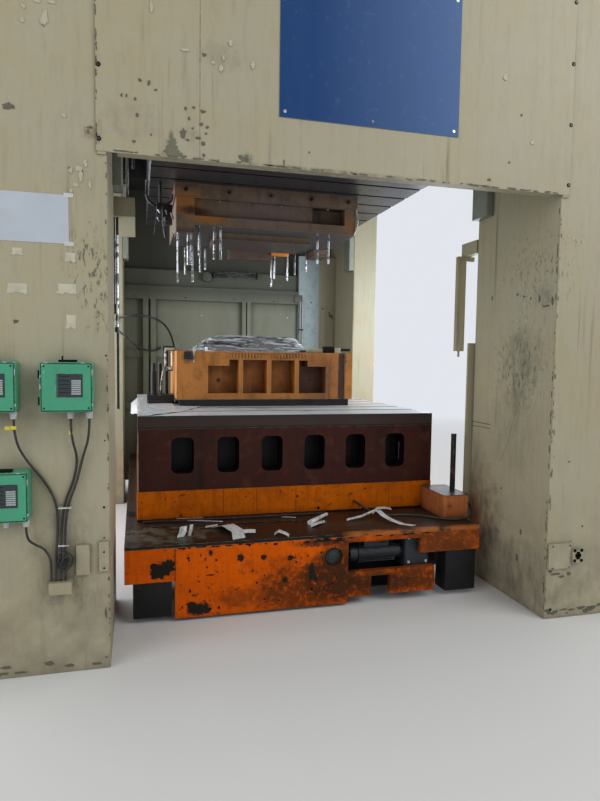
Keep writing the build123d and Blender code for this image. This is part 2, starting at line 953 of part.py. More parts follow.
def service_covers():
    width, height = cover_size
    cover_x = (inner_x + cover_inset, inner_x + cover_inset + width)
    right = block(cover_x, (face_y - cover_depth, face_y), (right_cover_z, right_cover_z + height))
    socket_x = (cover_x[1], cover_x[1] + socket_size)
    right += block(socket_x, (face_y - socket_depth, face_y), (socket_z, socket_z + socket_size))
    left_x = -inner_x - left_cover_gap
    left = block((left_x - left_cover_width, left_x), (face_y - cover_depth, face_y), left_cover_z)
    angle_x = -inner_x - angle_gap
    angle = block((angle_x - angle_width, angle_x), (face_y - cover_depth, face_y), angle_z)
    return right, left, angle


def cable_inlet():
    """A small box on the left cladding that the boxes' cables go into."""
    width, depth, height = inlet_size
    x = (inlet_x - width / 2, inlet_x + width / 2)
    return block(x, (face_y - depth, face_y), (inlet_z - height, inlet_z))


save("service_covers", *service_covers())
save("cable_inlet", cable_inlet())


# Cables and hoses: straight runs joined by arcs as large as the shorter run allows
def tube(name, points, diameter):
    vectors = [Vector(*p) for p in points]
    runs = [b - a for a, b in zip(vectors, vectors[1:])]
    radii = []
    for before, after in zip(runs, runs[1:]):
        turn = radians(before.get_angle(after))
        radii.append(0.45 * min(before.length, after.length) / tan(turn / 2))
    path = FilletPolyline(*vectors, radius=radii)
    section = Plane(origin=path @ 0, z_dir=path % 0) * RegularPolygon(diameter / 2, tube_sides)
    solid = sweep(section, path=path)
    print(name, "length", round(path.length), "radii", [round(r) for r in radii])
    save(name, solid)


box_foot = box_places["control_box_upper_right"][1] - gland_length


def gland(box, share):
    return box_places[box][0] + box_size * share


lower_foot = box_places["control_box_lower"][1] - gland_length
lower_b = gland("control_box_lower", gland_places[1])
right_a = gland("control_box_upper_right", gland_places[0])
right_b = gland("control_box_upper_right", gland_places[1])
left_b = gland("control_box_upper_left", gland_places[1])
rest_y = face_y - cable_diameter
inlet_y = face_y - inlet_size[1] / 2
cable_routes = {
    "cable_right_inner": [
        (right_a, gland_y, box_foot), (right_a, gland_y, 1240), (-1478, rest_y - 8, 1125),
        (-1500, rest_y, 1010), (-1546, rest_y - 4, 900), (-1562, rest_y - 6, 760), (-1566, inlet_y, 620),
        (-1566, inlet_y, inlet_z),
    ],
    "cable_right_outer": [
        (right_b, gland_y, box_foot), (right_b, gland_y, 1240), (-1456, rest_y - 14, 1130),
        (-1482, rest_y - 12, 1010), (-1528, rest_y - 16, 890), (-1544, rest_y - 18, 760),
        (-1543, inlet_y, 620), (-1543, inlet_y, inlet_z),
    ],
    "cable_left": [
        (left_b, gland_y, box_foot), (left_b, gland_y, 1235), (-1722, rest_y - 10, 1120),
        (-1640, rest_y, 1015), (-1582, rest_y - 5, 900), (-1578, rest_y - 2, 760), (-1589, inlet_y, 620),
        (-1589, inlet_y, inlet_z),
    ],
    "cable_lower": [
        (lower_b, gland_y, lower_foot), (lower_b, gland_y, 735), (-1690, rest_y - 18, 695),
        (-1640, rest_y - 12, 668), (-1611, rest_y - 20, 610), (-1611, inlet_y, 550),
        (-1611, inlet_y, inlet_z),
    ],
}
for name, points in cable_routes.items():
    tube(name, points, cable_diameter)

# Cable that lies on the deck, from the base round the corner housing
deck_rest = deck_top + deck_cable_diameter / 2
deck_cable = [
    (420, -base_y, 560), (420, -1330, 560), (480, -1425, 520), (600, -1490, deck_rest + 1),
    (745, -1500, deck_rest), (865, -1555, deck_rest), (940, -1650, deck_rest), (1045, -1705, deck_rest),
    (1155, -1690, deck_rest + 4), (1225, -1610, 525), (1250, -1515, 565), (1240, -1450, 590),
    (housing_x[1], -1450, 590),
]
tube("cable_deck", deck_cable, deck_cable_diameter)

hose_start_y = rear_y - post_depth
hose_end_y = guard_y - guard_sheet
hose_routes = {
    "hose_upper": [
        (-1400, hose_start_y, 2040), (-1400, 1235, 2040), (-1250, 1095, 2072), (-1010, 1210, 2072),
        (-850, 1430, 1980), (-765, 1660, 1790), (-735, 1900, 1590), (-735, hose_end_y, 1590),
    ],
    "hose_lower": [
        (-1400, hose_start_y, 1930), (-1400, 1235, 1930), (-1300, 1085, 1850), (-1190, 1180, 1745),
        (-1060, 1380, 1700), (-960, 1620, 1715), (-905, 1880, 1750), (-905, hose_end_y, 1750),
    ],
}
for name, points in hose_routes.items():
    tube(name, points, hose_diameter)
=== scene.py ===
import random
from math import cos, pi, radians, sin

import bmesh
import bpy
from mathutils import Matrix, Vector


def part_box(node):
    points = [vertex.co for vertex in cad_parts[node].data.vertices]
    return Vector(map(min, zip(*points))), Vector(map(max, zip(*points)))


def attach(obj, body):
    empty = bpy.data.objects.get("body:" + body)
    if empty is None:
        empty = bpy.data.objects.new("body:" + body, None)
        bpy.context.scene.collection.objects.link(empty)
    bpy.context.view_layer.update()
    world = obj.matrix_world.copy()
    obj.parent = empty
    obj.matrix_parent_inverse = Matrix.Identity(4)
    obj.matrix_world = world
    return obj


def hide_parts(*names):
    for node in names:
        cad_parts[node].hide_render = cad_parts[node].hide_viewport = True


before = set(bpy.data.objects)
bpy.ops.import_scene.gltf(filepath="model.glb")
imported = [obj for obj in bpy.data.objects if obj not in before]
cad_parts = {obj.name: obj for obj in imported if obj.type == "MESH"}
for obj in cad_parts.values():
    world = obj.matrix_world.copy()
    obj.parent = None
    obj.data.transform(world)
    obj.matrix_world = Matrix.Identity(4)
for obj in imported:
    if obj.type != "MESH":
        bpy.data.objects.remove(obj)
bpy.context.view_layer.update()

# Places on the frame that many pieces share, in metres
front_low, front_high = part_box("post_front_right")
inner_x, outer_x = front_low.x, front_high.x
face_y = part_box("cladding_right")[0].y
lintel_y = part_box("front_lintel")[0].y
rear_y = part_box("post_rear_right")[1].y
slide_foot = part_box("slide_block")[0].z
deck_low, deck_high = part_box("carriage_deck")
slab_low, slab_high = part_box("bolster_slab")
die_low, die_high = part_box("lower_die")
upper_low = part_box("upper_die")[0]
plate_low, plate_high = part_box("carriage_front_plate")


# Camera: the photo's station and lens, with its frame 600 wide and 801 high
def place_camera():
    focal_px, height_px, sensor = 615.4, 801, 36
    yaw, pitch, roll = radians(14.906), radians(3.972), radians(0.79)
    base = Matrix(((cos(yaw), -sin(yaw), 0), (0, 0, -1), (sin(yaw), cos(yaw), 0)))
    tilt = Matrix(((1, 0, 0), (0, cos(pitch), -sin(pitch)), (0, sin(pitch), cos(pitch))))
    turn = Matrix(((cos(roll), -sin(roll), 0), (sin(roll), cos(roll), 0), (0, 0, 1)))
    right, down, ahead = turn @ tilt @ base
    data = bpy.data.cameras.new("camera")
    data.sensor_fit = "VERTICAL"
    data.sensor_width = data.sensor_height = sensor
    data.lens = sensor * focal_px / height_px
    camera = bpy.data.objects.new("camera", data)
    station = Vector((-1.189, -5.649, 1.65))
    axes = (right, -down, -ahead)
    rows = [[axis[i] for axis in axes] + [station[i]] for i in range(3)]
    camera.matrix_world = Matrix(rows + [[0, 0, 0, 1]])
    bpy.context.scene.collection.objects.link(camera)
    bpy.context.scene.camera = camera


# Colour
def srgb(red, green, blue):
    """A colour given as it shows, from 0 to 255, turned to the linear values that nodes take."""
    shares = [c / 255 for c in (red, green, blue)]
    return [s / 12.92 if s <= 0.04045 else ((s + 0.055) / 1.055) ** 2.4 for s in shares] + [1]


def shade(colour, factor):
    return [min(1, c * factor) for c in colour[:3]] + [1]


class Finish:
    """A material's node tree, built from the base up: each coat lies over what is there."""

    def __init__(self, name, roughness=0.5, metallic=0.0, **fixed):
        self.material = bpy.data.materials.new(name)
        self.material.use_nodes = True
        self.tree = self.material.node_tree
        self.tree.nodes.clear()
        self.shader = self.node("ShaderNodeBsdfPrincipled")
        out = self.node("ShaderNodeOutputMaterial")
        self.link(self.shader.outputs[0], out.inputs[0])
        texture = self.node("ShaderNodeTexCoord")
        self.place, self.facing = texture.outputs["Object"], texture.outputs["Normal"]
        self.shader.inputs["Metallic"].default_value = metallic
        for key, value in fixed.items():
            self.shader.inputs[key.replace("_", " ")].default_value = value
        self.colour = None
        self.rough = roughness
        self.height = None

    def node(self, kind, **settings):
        node = self.tree.nodes.new(kind)
        for key, value in settings.items():
            setattr(node, key, value)
        return node

    def link(self, source, target):
        """Joins an output to an input, or sets a plain value on it."""
        if isinstance(source, bpy.types.NodeSocket):
            self.tree.links.new(source, target)
        else:
            target.default_value = source

    def math(self, operation, a, b=0.0):
        node = self.node("ShaderNodeMath", operation=operation)
        self.link(a, node.inputs[0])
        self.link(b, node.inputs[1])
        return node.outputs[0]

    def times(self, *values):
        result = values[0]
        for value in values[1:]:
            result = self.math("MULTIPLY", result, value)
        return result

    def remap(self, value, low, high):
        node = self.node("ShaderNodeMapRange")
        for i, v in enumerate((value, low, high)):
            self.link(v, node.inputs[i])
        return node.outputs[0]

    def noise(self, scale, detail=5, rough=0.55, stretch=(1, 1, 1), warp=0.0):
        vector = self.node("ShaderNodeMapping")
        self.link(self.place, vector.inputs["Vector"])
        vector.inputs["Scale"].default_value = stretch
        node = self.node("ShaderNodeTexNoise")
        self.link(vector.outputs[0], node.inputs["Vector"])
        node.inputs["Scale"].default_value = scale
        node.inputs["Detail"].default_value = detail
        node.inputs["Roughness"].default_value = rough
        node.inputs["Distortion"].default_value = warp
        return node.outputs["Fac"]

    def mix(self, factor, a, b):
        node = self.node("ShaderNodeMix", data_type="RGBA")
        self.link(factor, node.inputs[0])
        self.link(a, node.inputs[6])
        self.link(b, node.inputs[7])
        return node.outputs[2]

    def blend(self, factor, a, b):
        node = self.node("ShaderNodeMix", data_type="FLOAT")
        for i, v in zip((0, 2, 3), (factor, a, b)):
            self.link(v, node.inputs[i])
        return node.outputs[0]

    def axis(self, vector, name):
        node = self.node("ShaderNodeSeparateXYZ")
        self.link(vector, node.inputs[0])
        return node.outputs[name]

    def coat(self, mask, colour, rough=None, height=0.0):
        """Covers what is there by a mask, or by a tuple of masks multiplied together."""
        if isinstance(mask, tuple):
            mask = self.times(*mask)
        self.colour = self.mix(mask, self.colour, colour)
        if rough is not None:
            self.rough = self.blend(mask, self.rough, rough)
        if height:
            step = self.times(mask, height)
            self.height = step if self.height is None else self.math("ADD", self.height, step)

    # Masks
    def patches(self, scale, low, high, **words):
        return self.remap(self.noise(scale, **words), low, high)

    def drips(self, scale=11, low=0.56, high=0.74, run=0.045):
        """Thin runs down the height, broken up by a wider pattern."""
        runs = self.remap(self.noise(scale, detail=4, stretch=(1, 1, run)), low, high)
        return self.times(runs, self.remap(self.noise(1.7, detail=3), 0.42, 0.62))

    def edges(self, width=0.006, low=0.02, high=0.25):
        """Where the surface turns a corner within a width."""
        bevel = self.node("ShaderNodeBevel", samples=4)
        bevel.inputs["Radius"].default_value = width
        normal = self.node("ShaderNodeNewGeometry").outputs["Normal"]
        dot = self.node("ShaderNodeVectorMath", operation="DOT_PRODUCT")
        self.link(bevel.outputs[0], dot.inputs[0])
        self.link(normal, dot.inputs[1])
        return self.remap(self.math("SUBTRACT", 1.0, dot.outputs["Value"]), low, high)

    def corners(self, reach=0.12, low=0.25, high=0.8):
        """Where other surfaces crowd in and shade falls: a mask for painted shade, where dirt gathers too."""
        node = self.node("ShaderNodeAmbientOcclusion", samples=4)
        node.inputs["Distance"].default_value = reach
        return self.remap(node.outputs["AO"], high, low)

    def upward(self):
        return self.remap(self.axis(self.facing, "Z"), 0.6, 0.95)

    def downward(self):
        return self.remap(self.axis(self.facing, "Z"), -0.6, -0.95)

    def inward(self):
        """Faces that look towards the middle of the press."""
        dot = self.node("ShaderNodeVectorMath", operation="DOT_PRODUCT")
        self.link(self.place, dot.inputs[0])
        self.link(self.facing, dot.inputs[1])
        return self.remap(dot.outputs["Value"], -0.1, -0.6)

    def above(self, height, fade):
        return self.remap(self.axis(self.place, "Z"), height, height + fade)

    def below(self, height, fade):
        return self.remap(self.axis(self.place, "Z"), height, height - fade)

    def spot(self, centre, radii, ragged=0.45, soft=0.25):
        """A ragged blot about a point."""
        away = self.node("ShaderNodeVectorMath", operation="SUBTRACT")
        self.link(self.place, away.inputs[0])
        away.inputs[1].default_value = centre
        scaled = self.node("ShaderNodeVectorMath", operation="DIVIDE")
        self.link(away.outputs[0], scaled.inputs[0])
        scaled.inputs[1].default_value = radii
        length = self.node("ShaderNodeVectorMath", operation="LENGTH")
        self.link(scaled.outputs[0], length.inputs[0])
        scale = 1.6 / max(min(radii), 0.01)
        wobble = self.times(self.math("SUBTRACT", self.noise(scale, detail=6, rough=0.65), 0.5), ragged * 4)
        reach = self.math("ADD", length.outputs["Value"], wobble)
        return self.remap(reach, 1 + soft, 1 - soft)

    def band(self, axis, low, high, fade):
        """Between two places along an axis."""
        value = self.axis(self.place, axis)
        return self.times(self.remap(value, low - fade, low), self.remap(value, high + fade, high))

    def done(self, bump=0.35, distance=0.004):
        self.link(self.colour, self.shader.inputs["Base Color"])
        self.link(self.rough, self.shader.inputs["Roughness"])
        if self.height is not None:
            node = self.node("ShaderNodeBump")
            node.inputs["Strength"].default_value = bump
            node.inputs["Distance"].default_value = distance
            self.link(self.height, node.inputs["Height"])
            self.link(node.outputs[0], self.shader.inputs["Normal"])
        return self.material


cream = srgb(166, 160, 136)
# Dirty olive: real stains, and painted shade in corners
grime_and_shade = srgb(70, 66, 54)
# Near black: oil, and painted shade in corners
oil = srgb(22, 20, 18)
rust = srgb(92, 52, 28)
orange = srgb(218, 92, 0)


def cream_paint(name="cream_paint", stains=(), strokes=(), shaded_inside=False):
    """Old satin paint on sheet, yellowed and chipped, with painted shade in its corners and, where asked, on
    faces that look inward; a stain is a place, radii, colour and depth.
    """
    f = Finish(name, roughness=0.42, Specular_IOR_Level=0.35)
    f.colour = f.mix(f.noise(0.8, detail=4), shade(cream, 0.86), shade(cream, 1.08))
    f.coat((f.patches(3.2, 0.42, 0.72, rough=0.62), 0.5), srgb(162, 149, 112), 0.5)
    f.coat((f.patches(31, 0.5, 0.75, rough=0.7, stretch=(1, 1, 0.12)), 0.22), srgb(120, 112, 88), 0.6)
    f.coat((f.patches(55, 0.62, 0.72, rough=0.75), f.patches(1.3, 0.42, 0.6), 0.5), srgb(104, 96, 74), 0.6)
    f.coat((f.drips(9), 0.32), srgb(118, 110, 86), 0.6)
    f.coat((f.drips(23, 0.6, 0.7, 0.03), 0.5), srgb(84, 76, 58), 0.6)
    f.coat((f.below(0.9, 0.9), f.patches(6, 0.35, 0.7), 0.6), srgb(96, 88, 66), 0.7)
    # Painted shade where other surfaces crowd in
    f.coat((f.corners(0.1), 0.5), grime_and_shade, 0.7)
    f.coat((f.patches(26, 0.7, 0.74, rough=0.7), f.patches(2.1, 0.48, 0.56)), srgb(86, 82, 72), 0.7, -0.5)
    f.coat((f.edges(0.004), f.patches(14, 0.46, 0.56)), srgb(88, 78, 62), 0.6, -0.4)
    for centre, radii, colour, depth in stains:
        smeared = f.patches(19, 0.34, 0.62, rough=0.7, stretch=(1, 1, 0.3))
        f.coat((f.spot(centre, radii, 0.6, 0.4), smeared, depth), colour, 0.6)
    for centre, radii, colour, depth in strokes:
        short = f.patches(34, 0.55, 0.62, rough=0.6, stretch=(1.5, 1.5, 0.6), warp=0.5)
        f.coat((f.spot(centre, radii, 0.5, 0.5), short, depth), colour, 0.6)
    # Painted shade: faces that look towards the middle of the press darkened
    if shaded_inside:
        f.coat((f.inward(), 0.9), srgb(52, 54, 50), 0.6)
    orange_peel = f.times(f.noise(160, detail=2), 0.12)
    f.height = f.math("ADD", f.height, orange_peel)
    return f.done(0.3)


def grey_green_paint():
    """Dull paint of the rear guard, dusty, with painted shade in its corners and above 2.2 m, as the guard
    stands in shade.
    """
    f = Finish("grey_green_paint", roughness=0.55)
    f.colour = f.mix(f.noise(1.3, detail=5), srgb(114, 116, 98), srgb(139, 140, 121))
    f.coat((f.drips(12), 0.5), srgb(70, 68, 54), 0.7)
    f.coat((f.patches(5, 0.5, 0.85, stretch=(1, 1, 0.35)), 0.35), srgb(84, 82, 66), 0.7)
    # Painted shade where other surfaces crowd in
    f.coat((f.corners(0.12), 0.7), grime_and_shade, 0.8)
    # Painted shade: darker above 2.2 m, where the structure overhead shades the guard
    f.coat((f.above(2.2, 0.25), 0.75), srgb(56, 58, 50), 0.7)
    f.coat((f.edges(0.004), f.patches(16, 0.45, 0.55)), srgb(150, 148, 132), 0.5, -0.3)
    return f.done()


def plain_paint(name, colour, dirt=0.35, roughness=0.4, wear=None, coat=0.0, shine=0.5):
    """A paint of one colour with light dirt, painted shade in its corners, and worn edges."""
    f = Finish(name, roughness=roughness, Coat_Weight=coat, Specular_IOR_Level=shine)
    f.colour = f.mix(f.noise(6, detail=5), shade(colour, 0.86), shade(colour, 1.08))
    f.coat((f.patches(13, 0.5, 0.75), dirt), shade(colour, 0.45), 0.6)
    # Painted shade where other surfaces crowd in
    f.coat((f.corners(0.05), 0.6), shade(colour, 0.3), 0.7)
    f.coat((f.edges(0.003), f.patches(40, 0.42, 0.55)), wear or shade(colour, 1.5), 0.5, -0.3)
    return f.done()


def oily_steel(name, colour=srgb(44, 44, 46), metallic=0.6, roughness=0.38):
    f = Finish(name, roughness=roughness, metallic=metallic)
    f.colour = f.mix(f.noise(4, detail=6, rough=0.6), shade(colour, 0.6), shade(colour, 1.5))
    f.coat((f.patches(9, 0.46, 0.72, rough=0.65), 0.8), oil, 0.24)
    f.coat((f.patches(18, 0.58, 0.68), 0.5), rust, 0.8)
    f.coat((f.edges(0.004), f.patches(30, 0.4, 0.55)), srgb(150, 150, 148), 0.3, -0.2)
    return f.done()


def bright_steel():
    colour, roughness = srgb(205, 208, 212), 0.18
    f = Finish("bright_steel", roughness=roughness, metallic=1.0)
    f.colour = f.mix(f.noise(25, detail=3), shade(colour, 0.8), colour)
    f.coat((f.patches(12, 0.48, 0.56, stretch=(1, 1, 1.6)), 0.85), srgb(64, 60, 54), 0.45)
    f.rough = f.blend(f.noise(90, detail=3, stretch=(1, 1, 0.1)), f.rough, roughness + 0.15)
    return f.done()


def machined_steel():
    f = Finish("machined_steel", roughness=0.35, metallic=0.8)
    f.colour = f.mix(f.noise(3, detail=5), srgb(96, 96, 96), srgb(140, 138, 134))
    f.coat((f.patches(7, 0.5, 0.7), 0.7), srgb(48, 42, 36), 0.4)
    # Painted shade, dark as oil, where other surfaces crowd in
    f.coat((f.corners(0.06), 0.8), oil, 0.5)
    f.height = f.times(f.noise(180, detail=1, stretch=(1, 0.02, 1)), 0.2)
    return f.done(0.15)


def maroon_iron():
    """Oily primer on a casting, almost black where hands and oil reach it; its inside faces and corners near
    black as painted shade.
    """
    f = Finish("maroon_iron", roughness=0.45, Specular_IOR_Level=0.15)
    low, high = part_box("bolster")
    f.colour = f.mix(f.noise(2.5, detail=6, rough=0.6), srgb(44, 17, 11), srgb(74, 34, 24))
    f.coat((f.drips(13, 0.5, 0.7), 0.7), srgb(24, 16, 14), 0.3)
    f.coat((f.patches(9, 0.55, 0.7), 0.4), srgb(96, 58, 42), 0.6)
    f.coat((f.patches(27, 0.55, 0.66, rough=0.7), 0.5), srgb(28, 20, 20), 0.3)
    front_left = f.times(
        f.band("X", low.x - 0.01, low.x + 0.005, 0.002), f.band("Y", low.y - 0.01, low.y + 0.02, 0.02),
    )
    f.coat((front_left, f.patches(7, 0.3, 0.45), 0.8), srgb(150, 146, 138), 0.4)
    # Painted shade: the faces inside the casting near black
    shaded_interior = f.times(
        f.band("X", low.x + 0.03, high.x - 0.03, 0.004), f.band("Y", low.y + 0.012, high.y - 0.012, 0.012),
    )
    f.coat((shaded_interior, 0.88), srgb(8, 9, 13), 0.35)
    # Painted shade where other surfaces crowd in
    f.coat((f.corners(0.1, 0.3, 0.85), 0.9), srgb(14, 12, 12), 0.5)
    f.coat((f.edges(0.005), f.patches(20, 0.45, 0.6)), srgb(104, 78, 62), 0.45, -0.3)
    f.height = f.math("ADD", f.height, f.times(f.noise(60, detail=4), 0.3))
    return f.done()


def orange_paint(name, colour=orange, grease=0.6, marks=(), dark_above=None):
    """Thick orange paint on plate, greasy, scraped to steel and rust, black with oil above a height, and with
    painted shade in its corners.
    """
    f = Finish(name, roughness=0.42, Specular_IOR_Level=0.08)
    f.colour = f.mix(f.noise(2.6, detail=6, rough=0.68), shade(colour, 0.6), shade(colour, 1.25))
    f.coat((f.patches(5, 0.46, 0.7, rough=0.65), grease), srgb(104, 52, 8), 0.5)
    f.coat((f.patches(24, 0.5, 0.68, rough=0.75), 0.4), srgb(138, 62, 4), 0.5)
    f.coat((f.drips(15, 0.55, 0.72, 0.08), grease), srgb(56, 32, 14), 0.35)
    f.coat((f.patches(38, 0.5, 0.7, rough=0.7, stretch=(1, 1, 0.1)), grease, 0.7), srgb(88, 44, 12), 0.5)
    f.coat((f.patches(17, 0.58, 0.64, rough=0.72), f.patches(2.4, 0.42, 0.55)), srgb(46, 32, 22), 0.5, -0.6)
    f.coat((f.patches(46, 0.64, 0.7, rough=0.7), f.patches(3.1, 0.4, 0.55)), srgb(58, 34, 20), 0.5, -0.4)
    # Painted shade, dark as oil, where other surfaces crowd in
    f.coat((f.corners(0.1), 0.75), oil, 0.5)
    f.coat((f.edges(0.008), f.patches(11, 0.42, 0.52)), srgb(66, 48, 36), 0.45, -0.5)
    f.coat((f.edges(0.003), f.patches(33, 0.5, 0.58)), srgb(160, 140, 120), 0.35)
    if dark_above:
        f.coat((f.above(dark_above, 0.008), f.patches(9, 0.2, 0.45)), srgb(44, 42, 40), 0.4)
    for centre, radii, tone, depth in marks:
        f.coat((f.spot(centre, radii, 0.55, 0.3), f.patches(21, 0.3, 0.5, rough=0.7), depth), tone, 0.5)
    f.height = f.math("ADD", f.height, f.times(f.noise(90, detail=3), 0.2))
    return f.done(0.4)


def oily_deck():
    """Plate under years of oil and dust, paint left along its edge."""
    f = Finish("oily_deck", roughness=0.3, Specular_IOR_Level=0.15)
    f.colour = f.mix(f.noise(2.2, detail=7, rough=0.65), srgb(12, 12, 11), srgb(38, 33, 27))
    f.coat((f.patches(6, 0.54, 0.66, rough=0.7), 0.35), srgb(66, 62, 50), 0.6)
    f.coat((f.patches(31, 0.58, 0.68, rough=0.75), 0.45), srgb(98, 94, 82), 0.5)
    f.coat((f.patches(3, 0.58, 0.7), 0.9), oil, 0.12)
    f.coat(
        (f.spot((-1.02, -1.62, deck_high.z), (0.34, 0.2, 1), 0.6), f.patches(15, 0.4, 0.6), 0.6),
        srgb(104, 99, 78), 0.75,
    )
    f.coat((f.spot((0.66, -1.66, deck_high.z), (0.55, 0.25, 1), 0.5), 0.32), srgb(78, 54, 36), 0.5)
    front = f.band("Y", deck_low.y, deck_low.y + 0.04, 0.02)
    right = f.remap(f.axis(f.place, "X"), 0.12, 0.22)
    f.coat((front, right, f.patches(9, 0.3, 0.5)), srgb(160, 92, 40), 0.45)
    f.coat((f.edges(0.006), f.patches(20, 0.4, 0.55)), srgb(140, 124, 100), 0.4)
    return f.done()


def oily_slab():
    """Dark primer on the slab's sides, and its ground top wet with oil; painted shade in its corners."""
    f = Finish("oily_slab", roughness=0.42, Specular_IOR_Level=0.3)
    f.colour = f.mix(f.noise(3.1, detail=6, rough=0.6), srgb(44, 26, 21), srgb(64, 40, 33))
    ground = f.mix(f.noise(5, detail=5), srgb(176, 180, 184), srgb(216, 219, 222))
    f.coat(f.upward(), ground, 0.36)
    f.coat((f.patches(5, 0.52, 0.66), 0.4), srgb(50, 46, 44), 0.16)
    f.coat((f.drips(14), 0.6), srgb(34, 30, 28), 0.3)
    # Painted shade, dark as oil, where other surfaces crowd in
    f.coat((f.corners(0.05), 0.8), oil, 0.5)
    f.coat(f.band("Z", slab_low.z - 0.01, slab_low.z + 0.012, 0.004), srgb(18, 15, 15), 0.4)
    f.coat((f.band("Z", slab_high.z - 0.025, slab_high.z - 0.006, 0.006), 0.6), srgb(34, 36, 38), 0.4)
    f.coat((f.edges(0.004), f.patches(22, 0.4, 0.56)), srgb(136, 134, 130), 0.35)
    f.height = f.times(f.noise(140, detail=2), 0.15)
    return f.done(0.2)


def die_paint(name, colour, metal=0.5, stripe=None, marks=(), shaded_below=False):
    """Paint on a ribbed casting, rubbed to bright iron along its ribs, with painted shade in its corners and,
    where asked, on its underside.
    """
    f = Finish(name, roughness=0.45, Specular_IOR_Level=0.3)
    f.colour = f.mix(f.noise(3.5, detail=6, rough=0.6), shade(colour, 0.7), shade(colour, 1.15))
    f.coat((f.patches(8, 0.5, 0.66, rough=0.66), 0.6), shade(colour, 0.42), 0.5)
    f.coat((f.drips(18, 0.52, 0.7, 0.1), 0.6), srgb(44, 30, 20), 0.4)
    if stripe:
        f.coat((f.band("X", *stripe, 0.008), 0.85), srgb(84, 62, 66), 0.5)
    for centre, radii, tone, depth in marks:
        f.coat((f.spot(centre, radii, 0.4, 0.4), depth), tone, 0.5)
    # Painted shade where other surfaces crowd in
    f.coat((f.corners(0.12, 0.3, 0.9), 0.5), srgb(58, 36, 22), 0.5)
    # Painted shade: faces that look down darkened, and the die's lowest 95 mm too
    if shaded_below:
        f.coat((f.downward(), 0.85), srgb(36, 38, 46), 0.5)
        f.coat((f.below(upper_low.z + 0.095, 0.03), 0.6), srgb(62, 50, 46), 0.5)
    f.coat((f.edges(0.007, 0.02, 0.2), f.patches(24, 0.36, 0.5), metal), srgb(208, 172, 130), 0.35, -0.2)
    f.height = f.math("ADD", f.height, f.times(f.noise(70, detail=4), 0.35))
    return f.done()


def reflection_painted_sheet():
    """Bright sheet with painted reflections: wide painted highlights and dark bands, as a mirror shows a hall
    with windows, over bumped folds.
    """
    f = Finish("reflection_painted_sheet", roughness=0.18, metallic=0.6)
    f.colour = f.mix(f.noise(6, detail=4), srgb(160, 167, 172), srgb(220, 226, 230))
    # Painted reflections: dark bands, then bright streaks as painted highlights
    f.coat((f.patches(4, 0.54, 0.6, warp=1.6, stretch=(0.8, 1.2, 3)), 0.8), srgb(48, 60, 66), 0.15)
    f.coat((f.patches(5.5, 0.52, 0.58, warp=1.8, stretch=(0.6, 1.2, 6)), 0.95), srgb(246, 249, 252), 0.6)
    f.coat((f.patches(13, 0.6, 0.64, warp=1.2, stretch=(0.4, 1, 4)), 0.8), srgb(226, 232, 236), 0.5)
    f.height = f.times(f.noise(7, detail=3, warp=0.8), 1.0)
    return f.done(0.8, 0.02)


def crumpled_sheet_painted_light(name, low, high):
    """Thin pale sheet, creased across, with bands of painted shade and painted highlights along it."""
    f = Finish(name, roughness=0.3, Specular_IOR_Level=0.6)
    f.colour = f.mix(f.noise(9, detail=5, warp=0.8), low, high)
    # Painted shade in dull bands, then painted highlights in bright bands
    f.coat((f.patches(12, 0.54, 0.62, warp=1.0, stretch=(1.6, 0.5, 1)), 0.55), shade(low, 0.55), 0.35)
    f.coat((f.patches(17, 0.56, 0.62, warp=1.0, stretch=(1.6, 0.5, 1)), 0.8), srgb(236, 238, 240), 0.25)
    f.height = f.times(f.noise(26, detail=3, warp=0.6), 1.0)
    return f.done(0.6, 0.01)


def rubber():
    f = Finish("rubber", roughness=0.5)
    f.colour = f.mix(f.noise(40, detail=3), srgb(18, 18, 18), srgb(40, 40, 40))
    f.coat((f.patches(22, 0.5, 0.7), 0.4), srgb(78, 74, 66), 0.8)
    f.height = f.times(f.noise(300, detail=1), 0.2)
    return f.done(0.2)


def sign_sheet():
    """Blue sheet with a broad soft painted sheen, lighter towards the right, streaked by wiping."""
    f = Finish("sign_sheet", roughness=0.5, Specular_IOR_Level=0.2)
    f.colour = f.mix(f.noise(1.4, detail=3), srgb(2, 50, 98), srgb(8, 60, 114))
    # Painted sheen: lighter towards the right
    f.coat((f.remap(f.axis(f.place, "X"), -0.25, 0.75), 0.55), srgb(96, 128, 176), 0.4)
    f.coat((f.drips(7, 0.5, 0.75), 0.12), srgb(96, 116, 148), 0.5)
    f.coat((f.patches(20, 0.6, 0.75), 0.2), srgb(120, 130, 150), 0.6)
    f.coat((f.edges(0.003), 0.5), srgb(150, 160, 175), 0.4)
    return f.done()


def white_sheet():
    f = Finish("white_sheet", roughness=0.4)
    f.colour = f.mix(f.noise(5, detail=4), srgb(168, 176, 186), srgb(188, 196, 205))
    f.coat((f.patches(12, 0.55, 0.75), 0.25), srgb(170, 168, 160), 0.5)
    f.height = f.times(f.noise(7, detail=2, warp=0.8), 0.8)
    return f.done(0.3)


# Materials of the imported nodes
def stain(x, y, z, width, height, colour, depth=0.5):
    return (x, y, z), (width, max(width, height), height), colour, depth


